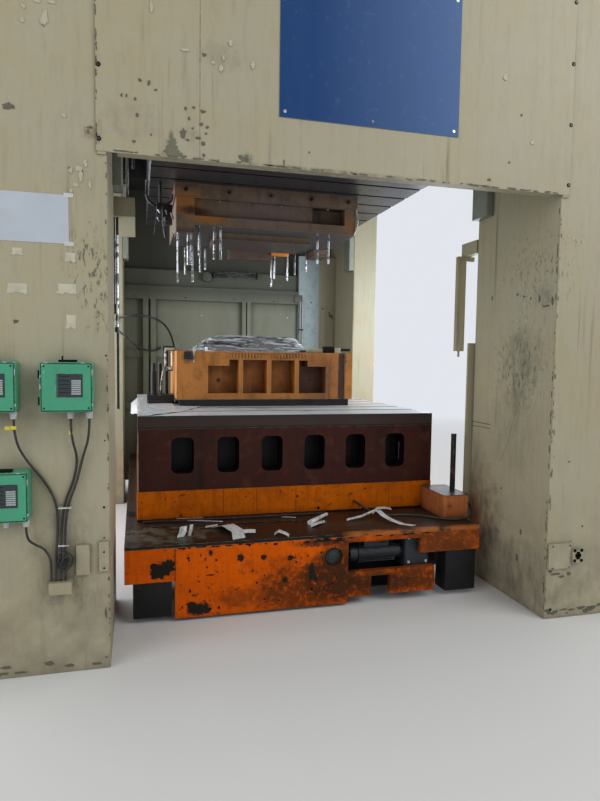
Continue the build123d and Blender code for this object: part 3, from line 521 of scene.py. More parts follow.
drip_tone = srgb(112, 108, 82)
olive = srgb(96, 98, 78)
lintel_stains = [
    stain(-1.0, lintel_y, 2.68, 0.055, 0.03, olive, 0.9),
    stain(-1.006, lintel_y, 2.725, 0.032, 0.035, olive, 0.9),
    stain(-1.01, lintel_y, 2.765, 0.014, 0.03, olive, 0.9),
    stain(-0.94, lintel_y, 2.79, 0.05, 0.035, olive, 0.5),
    stain(-1.2, lintel_y, 2.82, 0.11, 0.09, srgb(128, 116, 104), 0.4),
    stain(-0.62, lintel_y, 2.69, 0.028, 0.03, grime_and_shade, 0.8),
    stain(-0.1, lintel_y, 2.67, 0.5, 0.012, grime_and_shade, 0.6),
    stain(-1.37, lintel_y, 2.76, 0.02, 0.05, rust, 0.7),
    stain(-0.75, lintel_y, 3.2, 0.12, 0.06, drip_tone, 0.35),
]
post_stains = [
    stain(inner_x, -1.99, 1.64, 0.1, 0.19, olive, 0.75),
    stain(inner_x, -1.96, 1.42, 0.05, 0.12, olive, 0.5),
    stain(inner_x, -2.2, 2.06, 0.09, 0.06, grime_and_shade, 0.45),
    stain(inner_x, -1.93, 1.15, 0.03, 0.25, olive, 0.4),
    stain(inner_x, -1.9, 0.2, 0.45, 0.2, srgb(84, 76, 60), 0.55),
    stain(inner_x, -1.45, 0.5, 0.1, 0.3, grime_and_shade, 0.7),
]
post_strokes = [
    stain(inner_x, -1.97, 1.62, 0.12, 0.26, srgb(78, 84, 70), 0.8),
    stain(inner_x, -2.0, 2.3, 0.3, 0.2, srgb(112, 114, 110), 0.6),
    stain(inner_x, -2.2, 2.2, 0.12, 0.2, srgb(96, 94, 84), 0.6),
]
clad_strokes = [
    stain(-1.42, face_y, 2.1, 0.09, 0.17, srgb(88, 84, 70), 0.85),
    stain(-1.39, face_y, 1.88, 0.06, 0.14, srgb(88, 84, 70), 0.8),
]
clad_stains = [
    stain(-1.47, face_y, 2.55, 0.1, 0.12, srgb(146, 142, 118), 0.5),
    stain(-1.404, face_y, 2.75, 0.03, 0.03, rust, 0.5),
    stain(-1.7, face_y, 1.28, 0.3, 0.1, srgb(122, 118, 96), 0.3),
    stain(-1.55, face_y, 0.55, 0.15, 0.25, grime_and_shade, 0.45), stain(1.46, face_y, 0.28, 0.09, 0.03, grime_and_shade, 0.8),
]
bare = srgb(36, 33, 28)
brown = srgb(92, 48, 18)
plate_y = plate_low.y
plate_marks = [
    stain(-1.047, plate_y, 0.333, 0.06, 0.045, bare, 1), stain(-1.0, plate_y, 0.37, 0.04, 0.03, bare, 1),
    stain(-0.82, plate_y, 0.075, 0.07, 0.04, bare, 1),
    stain(-0.555, plate_y, 0.378, 0.022, 0.022, bare, 0.9),
    stain(-0.406, plate_y, 0.371, 0.018, 0.018, bare, 1),
    stain(-0.231, plate_y, 0.355, 0.024, 0.02, brown, 1),
    stain(-0.265, plate_y, 0.211, 0.024, 0.024, bare, 0.8),
    stain(-0.085, plate_y, 0.249, 0.03, 0.06, bare, 1),
    stain(-0.05, plate_y, 0.16, 0.42, 0.17, srgb(84, 42, 14), 0.9),
    stain(0.55, plate_y, 0.14, 0.35, 0.09, srgb(56, 36, 20), 0.85),
    stain(0.9, plate_y, 0.4, 0.3, 0.1, srgb(78, 58, 38), 0.75),
    stain(0.16, plate_y, 0.35, 0.09, 0.14, srgb(62, 38, 20), 0.85),
    stain(-0.02, plate_y, 0.44, 0.16, 0.022, bare, 0.9), stain(0.05, plate_y, 0.34, 0.07, 0.07, brown, 0.8),
    stain(-0.5, plate_y, 0.12, 0.2, 0.06, brown, 0.6),
    stain(-0.745, plate_y, 0.423, 0.014, 0.02, bare, 0.9), stain(0.6, plate_y, 0.3, 0.5, 0.2, brown, 0.7),
    stain(0.05, plate_y, 0.19, 0.17, 0.14, srgb(58, 34, 18), 0.85),
    stain(0.4, plate_y, 0.14, 0.25, 0.05, srgb(58, 34, 18), 0.7),
]
lower_die_marks = [
    stain(-0.78, die_low.y, 1.64, 0.04, 0.04, bare, 0.8),
    stain(0.36, die_low.y + 0.2, 1.45, 0.2, 0.25, srgb(78, 56, 54), 0.8),
    stain(-0.498, die_low.y + 0.2, 1.446, 0.016, 0.016, oil, 1),
    stain(0.322, die_low.y + 0.2, 1.447, 0.016, 0.016, oil, 1),
]
upper_die_marks = [
    stain(-0.61, upper_low.y, 2.765, 0.14, 0.03, srgb(176, 112, 50), 0.8),
    stain(-0.775, upper_low.y, 2.835, 0.035, 0.03, oil, 0.9),
    stain(-0.1, upper_low.y, 2.85, 0.35, 0.12, srgb(142, 128, 132), 0.5),
    stain(0.6, upper_low.y, 2.8, 0.06, 0.08, srgb(170, 120, 84), 0.7),
    stain(-0.8, upper_low.y, 2.9, 0.12, 0.1, srgb(168, 108, 56), 0.8),
    stain(-0.72, upper_low.y, 2.83, 0.12, 0.03, srgb(52, 34, 30), 0.8),
]
finishes = {
    "cream": cream_paint(),
    "cream_clad": cream_paint("cream_cladding", clad_stains, clad_strokes),
    "cream_lintel": cream_paint("cream_lintel", lintel_stains),
    # Cream paint with painted shade on its inward faces
    "cream_shell_shaded_inside": cream_paint("cream_shell_shaded_inside", shaded_inside=True),
    "cream_post": cream_paint("cream_post", post_stains, post_strokes),
    "guard": grey_green_paint(),
    "green": plain_paint("green_paint", srgb(158, 174, 178), dirt=0.5),
    "rail": plain_paint("rail_paint", srgb(134, 138, 126)),
    "teal": plain_paint("teal_paint", srgb(60, 152, 116), dirt=0.25, coat=0.2, wear=srgb(168, 206, 178)),
    "blue": sign_sheet(),
    "white": white_sheet(),
    "dark": oily_steel("dark_steel"),
    "slide": oily_steel("slide_iron", srgb(46, 48, 53), metallic=0.3, roughness=0.36),
    "bright": bright_steel(),
    "pale_metal": plain_paint("pale_metal", srgb(186, 188, 186), dirt=0.4, roughness=0.3),
    "machined": machined_steel(),
    "maroon": maroon_iron(),
    "slab": oily_slab(),
    "deck": oily_deck(),
    "carriage": orange_paint("carriage_orange", grease=0.25, marks=plate_marks),
    "base": orange_paint("base_orange", srgb(212, 104, 4), grease=0.45),
    "housing": orange_paint("housing_orange", srgb(186, 112, 68), grease=0.35, dark_above=0.652),
    "lower_die": die_paint(
        "lower_die_orange", srgb(208, 136, 66), metal=0.9, stripe=(0.539, 0.599), marks=lower_die_marks,
    ),
    "upper_die": die_paint(
        "upper_die_orange", srgb(134, 114, 98), metal=0.35, marks=upper_die_marks, shaded_below=True,
    ),
    "sheet": reflection_painted_sheet(),
    "rubber": rubber(),
    "motor": plain_paint("motor_grey", srgb(30, 33, 38), dirt=0.6, roughness=0.45, wear=srgb(76, 80, 86)),
    "slate": plain_paint("slate_pane", srgb(36, 46, 46), dirt=0.2, roughness=0.25),
    "label": plain_paint("pale_slots", srgb(158, 168, 166), dirt=0.3),
    "yellow": plain_paint("yellow_tag", srgb(214, 196, 60), dirt=0.3),
    "tie": plain_paint("white_tie", srgb(196, 198, 196), dirt=0.2),
    "tape": plain_paint("old_tape", srgb(192, 187, 166), dirt=0.3, roughness=0.5),
    "hole": plain_paint("dark_hole", srgb(16, 15, 14), dirt=0.2, roughness=0.8, shine=0.1),
    "chip": plain_paint("bare_chip", srgb(92, 88, 74), dirt=0.5, roughness=0.7),
    "flake": plain_paint("lifted_flake", srgb(180, 174, 150), dirt=0.3),
    "bright_orange": plain_paint("orange_block", srgb(224, 128, 20), dirt=0.3),
    "film": crumpled_sheet_painted_light("pale_film", srgb(168, 171, 173), srgb(212, 214, 216)),
    "scrap": crumpled_sheet_painted_light("scrap_sheet", srgb(170, 171, 170), srgb(226, 227, 226)),
    "dark_sheet": plain_paint(
        "dark_sheet", srgb(26, 26, 26), dirt=0.5, roughness=0.5, wear=srgb(70, 66, 60), shine=0.2,
    ),
    "olive": plain_paint("olive_stain", srgb(106, 104, 82), dirt=0.9, roughness=0.7),
    "oil": plain_paint("oil_scab", srgb(36, 32, 25), dirt=0.6, roughness=0.75, shine=0.1),
}

node_finish = {
    "cream": """post_front_left post_rear_left post_rear_right
        side_bracket_left side_bracket_right service_covers cable_inlet
        rear_guard_end_post guard_post_right""",
    "cream_shell_shaded_inside": "rear_lintel side_panels crown",
    "cream_clad": "cladding_left",
    "cream_lintel": "front_lintel",
    "cream_post": "post_front_right cladding_right",
    "guard": "rear_guard_panel rear_guard_posts rear_guard_rails",
    "green": "rear_guard_door_post",
    "rail": "guide_rails",
    "teal": "control_box_upper_left control_box_upper_right control_box_lower",
    "blue": "sign_plate",
    "white": "notice_sheet",
    "machined": "cylinders tie_rod_nuts",
    "slide": "slide_block",
    "dark": "slide_shoes carriage_wheels carriage_cheeks guard_post_left die_lifters die_riser",
    "bright": "plungers die_pins",
    "upper_die": "upper_die_plate upper_die",
    "lower_die": "lower_die",
    "maroon": "bolster",
    "slab": "bolster_slab",
    "base": "bolster_base",
    "deck": "carriage_deck",
    "carriage": "carriage_beam_right carriage_beam_left carriage_front_plate carriage_rear_plate",
    "motor": "drive_motor gearbox",
    "sheet": "stamped_panel",
    "housing": "corner_housing",
}


def dress_nodes():
    for key, names in node_finish.items():
        for name in names.split():
            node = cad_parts[name]
            node.data.materials.clear()
            node.data.materials.append(finishes[key])


# Meshes
north, south = (0, 1, 0), (0, -1, 0)
west, top_side = (-1, 0, 0), (0, 0, 1)


def circle(count, radius):
    """Places across and up on a circle, the last the same as the first."""
    return [(cos(2 * pi * i / count) * radius, sin(2 * pi * i / count) * radius) for i in range(count + 1)]


sheet_thickness = 0.002


class Build:
    """A mesh put together from simple solids, their edges broken where a bevel is given."""

    def __init__(self):
        self.mesh = bmesh.new()

    def box(self, low, high, bevel=0.0):
        size = [b - a for a, b in zip(low, high)]
        centre = Vector([(b + a) / 2 for a, b in zip(low, high)])
        matrix = Matrix.Translation(centre) @ Matrix.Diagonal((*size, 1))
        made = bmesh.ops.create_cube(self.mesh, size=1, matrix=matrix)
        self._break(made["verts"], bevel)
        return self

    def rod(self, start, end, radius, sides=16, radius_end=None, bevel=0.0):
        start, end = Vector(start), Vector(end)
        along = end - start
        turn = along.to_track_quat("Z", "Y").to_matrix().to_4x4()
        made = bmesh.ops.create_cone(
            self.mesh, cap_ends=True, segments=sides, radius1=radius,
            radius2=radius if radius_end is None else radius_end, depth=along.length,
            matrix=Matrix.Translation((start + end) / 2) @ turn,
        )
        self._break(made["verts"], bevel)
        return self

    def _break(self, verts, bevel):
        if bevel:
            edges = {e for v in verts for e in v.link_edges if e.calc_face_angle(0) > 0.6}
            bmesh.ops.bevel(
                self.mesh, geom=list(edges), offset=bevel, segments=2, affect="EDGES", profile=0.5,
            )

    def _skin(self, rings):
        """Walls from each ring of corners to the next, and a cap on both ends."""
        count = len(rings[0])
        for a, b in zip(rings, rings[1:]):
            for k in range(count):
                following = (k + 1) % count
                self.mesh.faces.new((a[k], a[following], b[following], b[k]))
        self.mesh.faces.new(rings[0][::-1])
        self.mesh.faces.new(rings[-1])
        return self

    def bolt(self, centre, out, size=0.01, head=None):
        """A washer and a hexagonal head that stand out from a face."""
        centre, out = Vector(centre), Vector(out).normalized()
        rise = head or size * 0.9
        self.rod(centre, centre + out * size * 0.25, size * 1.25, 14)
        self.rod(centre, centre + out * rise, size, 6, size * 0.94)
        return self

    def flake(self, centre, out, radii, seed, points=13, ragged=0.35, rise=0.0012):
        """A thin ragged scab on a face: radii go along the face's own width and height."""
        pick = random.Random(seed)
        centre, out = Vector(centre), Vector(out)
        up = Vector((0, 1, 0)) if abs(out.z) > 0.5 else Vector((0, 0, 1))
        side = up.cross(out).normalized()
        rings = []
        shape = [1 + ragged * pick.uniform(-1, 1) for _ in range(points)]
        rise += 0.00018 * (seed % 6)
        for lift in (-0.001, rise):
            ring = []
            for k, reach in enumerate(shape):
                angle = 2 * pi * k / points
                flat = side * (cos(angle) * radii[0] * reach) + up * (sin(angle) * radii[1] * reach)
                ring.append(self.mesh.verts.new(centre + flat + out * lift))
            rings.append(ring)
        return self._skin(rings)

    def flakes(self, spots, face, seed, out=south, **shape):
        """A flake at each spot of a face: place across and up in metres, width and height in mm."""
        for i, (across, z, wide, tall) in enumerate(spots):
            centre = (across, face, z) if out == south else (face, across, z)
            self.flake(centre, out, (wide / 1000, tall / 1000), seed + i, **shape)
        return self

    def grid(self, across, along, height, thickness=0.0015):
        """A thin sheet over two lists of places, its height given by a function of them."""
        layers = []
        for drop in (0, thickness):
            rows = []
            for v in along:
                places = [height(u, v) for u in across]
                rows.append([self.mesh.verts.new((x, y, z - drop)) for x, y, z in places])
            layers.append(rows)
        top, foot = layers
        last_u, last_v = len(across) - 1, len(along) - 1
        for j in range(last_v):
            for i in range(last_u):
                self.mesh.faces.new((top[j][i], top[j][i + 1], top[j + 1][i + 1], top[j + 1][i]))
                self.mesh.faces.new((foot[j][i], foot[j + 1][i], foot[j + 1][i + 1], foot[j][i + 1]))
        rim = [(0, i) for i in range(last_u)] + [(j, last_u) for j in range(last_v)]
        rim += [(last_v, i) for i in range(last_u, 0, -1)] + [(j, 0) for j in range(last_v, 0, -1)]
        for (a, b), (c, d) in zip(rim, rim[1:] + rim[:1]):
            self.mesh.faces.new((top[a][b], foot[a][b], foot[c][d], top[c][d]))
        return self

    def ribbon(self, points, side, width):
        """A bent strip of sheet along a list of points, its width along a fixed direction."""
        side = Vector(side).normalized() * width / 2
        rings = []
        lift = Vector((0, 0, sheet_thickness))
        for point in map(Vector, points):
            corners = (point - side, point + side, point + side + lift, point - side + lift)
            rings.append([self.mesh.verts.new(corner) for corner in corners])
        return self._skin(rings)

    def sweep(self, points, radius, sides=8):
        """A round bar along a list of points."""
        rings = []
        points = [Vector(p) for p in points]
        for i, point in enumerate(points):
            ahead = points[min(i + 1, len(points) - 1)] - points[max(i - 1, 0)]
            turn = ahead.to_track_quat("Z", "Y").to_matrix()
            ring = []
            for k in range(sides):
                angle = 2 * pi * k / sides
                ring.append(self.mesh.verts.new(point + turn @ Vector((cos(angle), sin(angle), 0)) * radius))
            rings.append(ring)
        return self._skin(rings)

    def piece(self, name, finish, body, slot):
        data = bpy.data.meshes.new(name)
        bmesh.ops.recalc_face_normals(self.mesh, faces=self.mesh.faces)
        self.mesh.to_mesh(data)
        self.mesh.free()
        data.materials.append(finishes[finish])
        data.shade_smooth()
        data.set_sharp_from_angle(angle=radians(35))
        piece = bpy.data.objects.new(name, data)
        bpy.context.scene.collection.objects.link(piece)
        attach(piece, body)
        return piece


# Pieces on the press's front
def dress_lintel():
    heads = Build()
    # Painted shade: dark discs round the bolts stand in for the shade in their recesses
    holes = Build()
    bolt_x, bolt_z, bolt_pitch = 1.3655, 2.723, 0.357
    for side in (-1, 1):
        for z in [bolt_z + bolt_pitch * i for i in range(7)]:
            x = side * bolt_x
            holes.rod((x, lintel_y + 0.001, z), (x, lintel_y - 0.0012, z), 0.0125, 20)
            heads.rod((x, lintel_y, z), (x, lintel_y - 0.004, z), 0.0075, 6)
    holes.piece("lintel_bolt_recesses", "hole", "frame", "dark_steel")
    heads.piece("lintel_bolts", "dark", "frame", "dark_steel")
    tabs = Build()
    for side in (-1, 1):
        low, high = sorted((side * 1.374, side * 1.329))
        tabs.box((low, face_y - 0.008, 2.6484), (high, face_y, 2.689), 0.002)
    tabs.piece("lintel_stops", "cream", "frame", "cream_paint")
    chips = Build()
    spots = [
        (-0.94, 2.916, 7, 10), (-0.899, 2.924, 8, 8), (-0.851, 2.91, 13, 9), (-0.923, 2.868, 7, 9),
        (-0.858, 2.846, 10, 10), (-0.829, 2.833, 9, 6), (-0.877, 2.775, 14, 8), (-0.85, 2.748, 13, 14),
        (-0.952, 2.789, 15, 26), (-0.847, 2.69, 8, 10), (-1.166, 3.028, 8, 8), (-1.122, 3.019, 8, 13),
        (-1.089, 2.99, 8, 7), (-1.232, 2.944, 6, 9), (-1.255, 2.944, 6, 9), (-1.189, 2.934, 6, 8),
        (-1.18, 2.855, 8, 12), (-1.197, 2.725, 9, 7), (-1.112, 2.767, 5, 7), (-0.846, 3.192, 12, 10),
        (-0.774, 2.668, 6, 8), (-0.655, 2.7, 10, 12), (-0.625, 2.692, 13, 12), (-0.42, 2.69, 4, 18),
        (-0.905, 2.82, 6, 5), (-0.835, 2.8, 7, 6), (-0.93, 2.76, 10, 6), (-0.28, 2.76, 6, 5),
        (0.95, 2.82, 9, 7), (1.02, 3.1, 7, 9), (0.82, 2.71, 14, 8),
    ]
    chips.flakes(spots, lintel_y, 0)
    pick = random.Random(4)
    for i in range(46):
        x = -1.378 + abs(pick.gauss(0, 0.004))
        chips.flake(
            (x, lintel_y, pick.uniform(2.67, 4.4)), south, (0.003, pick.uniform(0.004, 0.02)), 100 + i,
        )
    for i in range(60):
        x = pick.uniform(-1.3, 1.3)
        chips.flake(
            (x, lintel_y, 2.667 + pick.uniform(0, 0.006)),
            south, (pick.uniform(0.004, 0.03), 0.004), 200 + i,
        )
    chips.piece("lintel_chips", "chip", "frame", "cream_paint")
    blot = Build()
    blot.flakes([
        (-1.0, 2.684, 48, 20), (-1.012, 2.708, 34, 24), (-1.006, 2.74, 20, 24), (-1.012, 2.768, 9, 20),
        (-0.952, 2.674, 20, 7), (-0.635, 2.69, 22, 16), (-0.62, 2.705, 10, 12),
    ], lintel_y, 60, points=19, rise=0.0008)
    blot.piece("lintel_blots", "olive", "frame", "cream_paint")
    lifted = Build()
    lifted.flakes([
        (-1.108, 3.387, 9, 34), (-0.942, 3.203, 20, 8), (-0.76, 3.137, 10, 17), (-0.592, 3.173, 12, 16),
        (-0.747, 3.188, 6, 14), (-0.711, 3.27, 10, 14), (-0.8, 3.16, 8, 8), (0.9, 3.3, 12, 18),
        (1.1, 2.95, 9, 14),
    ], lintel_y, 300, rise=0.004)
    lifted.piece("lintel_lifted_paint", "flake", "frame", "cream_paint")


def dress_cladding():
    cover_foot, cover_top, cover_depth = 0.53, 0.684, 0.03
    # Painted shade: dark discs stand in for the shade inside holes in the sheet
    holes = Build()
    for x, z, size in (
        (-1.339, 1.647, 5), (-1.348, 1.21, 4), (-1.355, 0.861, 6), (-1.3555, 0.633, 5), (-1.3555, 0.548, 5),
        (-1.3555, 0.7, 4), (1.505, 0.5, 4), (1.586, 0.591, 6),
    ):
        on_cover = cover_foot < z < cover_top and x < 0
        y = face_y - (cover_depth if on_cover else 0)
        holes.rod((x, y + 0.001, z), (x, y - 0.0012, z), size / 1000, 14)
    holes.piece("cladding_holes", "hole", "frame", "dark_steel")
    lifted = Build()
    lifted.flakes([
        (-1.606, 3.267, 12, 34), (-1.62, 3.25, 10, 16), (-1.577, 3.345, 18, 8), (-1.638, 3.34, 12, 7),
        (-1.46, 2.572, 22, 12), (-1.452, 2.53, 10, 26), (-1.5, 2.56, 9, 14), (-1.43, 2.6, 8, 16),
        (-1.478, 2.49, 12, 9), (-1.526, 2.818, 10, 12), (-1.704, 3.306, 10, 8), (-1.71, 3.242, 9, 10),
        (-1.41, 2.5, 7, 20), (-1.5, 2.46, 8, 12), (1.42, 2.41, 7, 12), (1.45, 2.4, 10, 5),
        (1.49, 2.39, 6, 8), (1.39, 2.42, 9, 6), (1.352, 1.3, 5, 9), (1.36, 1.05, 6, 7), (1.62, 3.1, 14, 20),
        (1.9, 2.7, 12, 9),
    ], face_y, 400, rise=0.003)
    lifted.piece("cladding_lifted_paint", "flake", "frame", "cream_paint")
    tape = Build()
    for i, (x, z, wide, tall) in enumerate([
        (-1.749, 2.152, 45, 30), (-1.506, 2.136, 46, 40), (-1.752, 1.974, 88, 42), (-1.521, 1.98, 84, 44),
        (-1.505, 1.817, 44, 62),
    ]):
        wide, tall = wide / 2000, tall / 2000
        tape.box((x - wide, face_y - 0.0012, z - tall), (x + wide, face_y + 0.001, z + tall), 0.0004)
        for k in (-1, 1):
            tape.flake(
                (x + k * wide * 0.7, face_y, z - tall * 0.9),
                south, (wide * 0.45, tall * 0.4), 460 + 2 * i + k, rise=0.002,
            )
    tape.piece("cladding_tape", "tape", "frame", "cream_paint")
    chips = Build()
    chips.flakes([
        (-1.762, 1.809, 11, 10), (-1.777, 2.834, 26, 17), (-1.404, 2.775, 14, 6), (-1.415, 2.755, 5, 12),
        (-1.612, 3.25, 8, 20), (-1.446, 2.55, 6, 18), (-1.505, 2.57, 6, 7), (1.345, 1.205, 3, 20),
        (1.342, 0.95, 3, 30), (1.36, 0.31, 12, 10), (1.4, 0.29, 34, 8), (1.45, 0.27, 26, 9),
        (1.5, 0.285, 20, 12), (1.34, 0.75, 3, 40), (1.465, 1.015, 9, 5), (1.7, 1.6, 10, 8),
        (2.1, 1.1, 8, 12), (-2.1, 1.9, 9, 11), (-2.0, 0.4, 14, 18), (-1.9, 0.25, 20, 9),
        (-1.35, 0.3, 5, 30),
    ], face_y, 500)
    pick = random.Random(9)
    for i in range(70):
        side = pick.choice((-1, 1))
        z = pick.uniform(0.05, 2.6) if side > 0 else pick.uniform(0.05, 3.6)
        chips.flake(
            (side * (1.33 + abs(pick.gauss(0, 0.003))), face_y, z),
            south, (0.003, pick.uniform(0.003, 0.016)), 600 + i,
        )
    for i in range(60):
        x = pick.choice((-1, 1)) * pick.uniform(1.34, 2.26)
        chips.flake(
            (x, face_y, pick.uniform(0.024, 0.06)),
            south, (pick.uniform(0.005, 0.03), pick.uniform(0.004, 0.014)), 700 + i,
        )
    chips.piece("cladding_chips", "chip", "frame", "cream_paint")
    # Inner face of the right post: two scored lines, a long scratch and knocks
    inner = Build()
    for rise in (0, 0.03):
        inner.box((inner_x - 0.0015, -1.65, 1.145 + rise), (inner_x + 0.001, -1.36, 1.15 + rise * 1.05))
    marks = [
        (-1.817, 0.74, 8, 8), (-2.067, 0.49, 12, 18), (-2.035, 0.307, 10, 26), (-2.3, 2.02, 12, 30),
        (-2.24, 2.0, 36, 6), (-2.17, 2.05, 8, 26), (-1.93, 2.1, 12, 10), (-2.0, 2.08, 20, 6),
        (-2.08, 2.06, 8, 8), (-1.62, 2.1, 8, 16),
    ]
    inner.flakes(marks, inner_x, 800, out=west)
    shares = [i / 14 for i in range(15)]
    scratch = [(inner_x + 0.0005, -1.998 + 0.2 * t + 0.01 * sin(7 * t), 1.36 - 0.43 * t) for t in shares]
    inner.sweep(scratch, 0.0016, 5)
    inner.sweep([(inner_x + 0.0005, y - 0.012, z + 0.03) for _, y, z in scratch[3:9]], 0.001, 5)
    for i in range(40):
        inner.flake(
            (inner_x, -2.33 + abs(pick.gauss(0, 0.003)), pick.uniform(0.05, 2.6)),
            west, (0.003, pick.uniform(0.004, 0.02)), 840 + i,
        )
    inner.piece("post_scores", "chip", "frame", "cream_paint")
    pale = Build()
    for i in range(26):
        y, z = pick.gauss(-1.99, 0.05), pick.gauss(2.02, 0.07)
        pale.flake(
            (inner_x, y, z),
            west, (pick.uniform(0.003, 0.01), pick.uniform(0.003, 0.014)), 900 + i, rise=0.002,
        )
    pale.piece("post_flakes", "flake", "frame", "cream_paint")


def dress_covers():
    screws = Build()
    for x in (1.351, 1.477):
        for z in (0.34, 0.48):
            screws.bolt((x, face_y - 0.03, z), south, 0.005, 0.004)
    screws.piece("cover_screws", "dark", "frame", "dark_steel")
    socket = Build()
    for x in (1.515, 1.566):
        for z in (0.378, 0.444):
            socket.rod((x, face_y - 0.029, z), (x, face_y - 0.0325, z), 0.011, 12)
    socket.box((1.528, face_y - 0.032, 0.386), (1.553, face_y - 0.029, 0.436), 0.004)
    socket.box((1.519, face_y - 0.032, 0.4), (1.562, face_y - 0.029, 0.422), 0.004)
    socket.piece("socket_face", "hole", "frame", "dark_steel")


# The three boxes: window, slots, bracket, glands, screws and a rubbed rim
def dress_boxes():
    pane, slots, trim, dark = Build(), Build(), Build(), Build()
    for name in ("control_box_upper_left", "control_box_upper_right", "control_box_lower"):
        low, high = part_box(name)
        x, y, z, size = low.x, low.y, high.z, high.x - low.x
        pane.box((x + 0.082, y - 0.0015, z - 0.171), (x + 0.198, y + 0.001, z - 0.058))
        for i in range(7):
            foot = z - 0.158 + i * 0.0106
            slots.box((x + 0.146, y - 0.0025, foot), (x + 0.189, y - 0.001, foot + 0.0075))
        for i in range(5):
            foot = z - 0.15 + i * 0.02
            dark.box((x + 0.09, y - 0.0022, foot), (x + 0.136, y - 0.001, foot + 0.0025))
        inset, wide = 0.006, 0.003
        left, right, foot, top = x + inset, x + size - inset, z - size + inset, z - inset
        for a, b in (
            ((left, foot), (right, foot + wide)), ((left, top - wide), (right, top)),
            ((left, foot), (left + wide, top)), ((right - wide, foot), (right, top)),
        ):
            dark.box((a[0], y - 0.0008, a[1]), (b[0], y + 0.001, b[1]))
        for dx in (0.02, 0.225):
            for dz in (0.02, 0.225):
                dark.bolt((x + dx, y, z - dz), south, 0.0035, 0.003)
        dark.box((x + 0.086, y + 0.01, z), (x + 0.17, y + 0.06, z + 0.012), 0.003)
        dark.box((x + 0.1, y + 0.02, z + 0.01), (x + 0.106, y + 0.04, z + 0.03), 0.001)
        for dz in (0.06, 0.19):
            dark.rod((x - 0.004, y + 0.02, z - dz - 0.02), (x - 0.004, y + 0.02, z - dz + 0.02), 0.006, 10)
        for dx, dz, wide, tall in (
            (0.003, 0.12, 3, 14), (0.004, 0.07, 4, 6), (0.03, 0.004, 12, 3), (0.2, 0.003, 14, 3),
            (0.241, 0.05, 3, 18), (0.242, 0.21, 3, 8), (0.012, 0.014, 9, 4), (0.02, 0.05, 3, 7),
        ):
            slots.flake(
                (x + dx, y, z - dz),
                south, (wide / 1000, tall / 1000), int(dx * 1000 + dz * 100), rise=0.0006,
            )
        for share in (0.55, 0.91):
            gland_x, box_foot = x + size * share, z - size
            trim.rod(
                (gland_x, gland_y, box_foot - 0.0355), (gland_x, gland_y, box_foot - 0.005), 0.0158, 18,
                bevel=0.002,
            )
            trim.rod((gland_x, gland_y, box_foot - 0.017), (gland_x, gland_y, box_foot), 0.0185, 6)
    pane.piece("box_windows", "slate", "frame", "teal_paint")
    slots.piece("box_window_slots", "label", "frame", "teal_paint")
    trim.piece("box_glands", "pale_metal", "frame", "bright_steel")
    dark.piece("box_seams", "hole", "frame", "teal_paint")


def dress_cables():
    ties, tags, loops = Build(), Build(), Build()
    ties.box((-1.5755, -2.384, 0.871), (-1.5115, -2.3455, 0.877), 0.002)
    ties.box((-1.577, -2.384, 0.677), (-1.539, -2.3455, 0.684), 0.002)
    ties.box((-1.54, -2.381, 0.678), (-1.526, -2.378, 0.683), 0.001)
    ties.piece("cable_ties", "tie", "frame", "white_sheet")
    tags.box((-1.81, -2.41, 1.279), (-1.786, -2.4065, 1.297), 0.001)
    tags.box((-1.783, -2.4095, 1.281), (-1.757, -2.406, 1.298), 0.001)
    tags.box((-1.5165, -2.4, 1.252), (-1.498, -2.3965, 1.268), 0.001)
    tags.piece("cable_tags", "yellow", "frame", "cream_paint")
    pick = random.Random(3)
    for k in range(5):
        centre = Vector(
            (-1.545 + pick.uniform(-0.012, 0.016), -2.378 - 0.006 * k, 0.61 + pick.uniform(-0.02, 0.02)),
        )
        wide, tall = pick.uniform(0.014, 0.024), pick.uniform(0.03, 0.045)
        turn = pick.uniform(-0.5, 0.5)
        points = []
        for i in range(22):
            a = 2 * pi * i / 20
            x, z = cos(a) * wide, sin(a) * tall
            points.append(
                centre + Vector((x * cos(turn) - z * sin(turn), 0.0006 * i, x * sin(turn) + z * cos(turn))),
            )
        loops.sweep(points, 0.0042, 7)
    loops.piece("cable_slack", "rubber", "frame", "rubber_hose")


# Bare plates: corner screws on the blue one, tape on the white one
def dress_plates():
    low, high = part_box("sign_plate")
    screws = Build()
    for x in (low.x + 0.03, (low.x + high.x) / 2, high.x - 0.03):
        for z in (low.z + 0.03, high.z - 0.03):
            screws.bolt((x, low.y, z), south, 0.007, 0.004)
    screws.piece("sign_screws", "bright", "frame", "bright_steel")
    low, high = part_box("notice_sheet")
    tape = Build()
    for x in (low.x, high.x):
        for z in (low.z, high.z):
            tape.box((x - 0.022, low.y - 0.0008, z - 0.01), (x + 0.022, face_y - 0.0003, z + 0.01))
    tape.piece("notice_tape", "tie", "frame", "white_sheet")


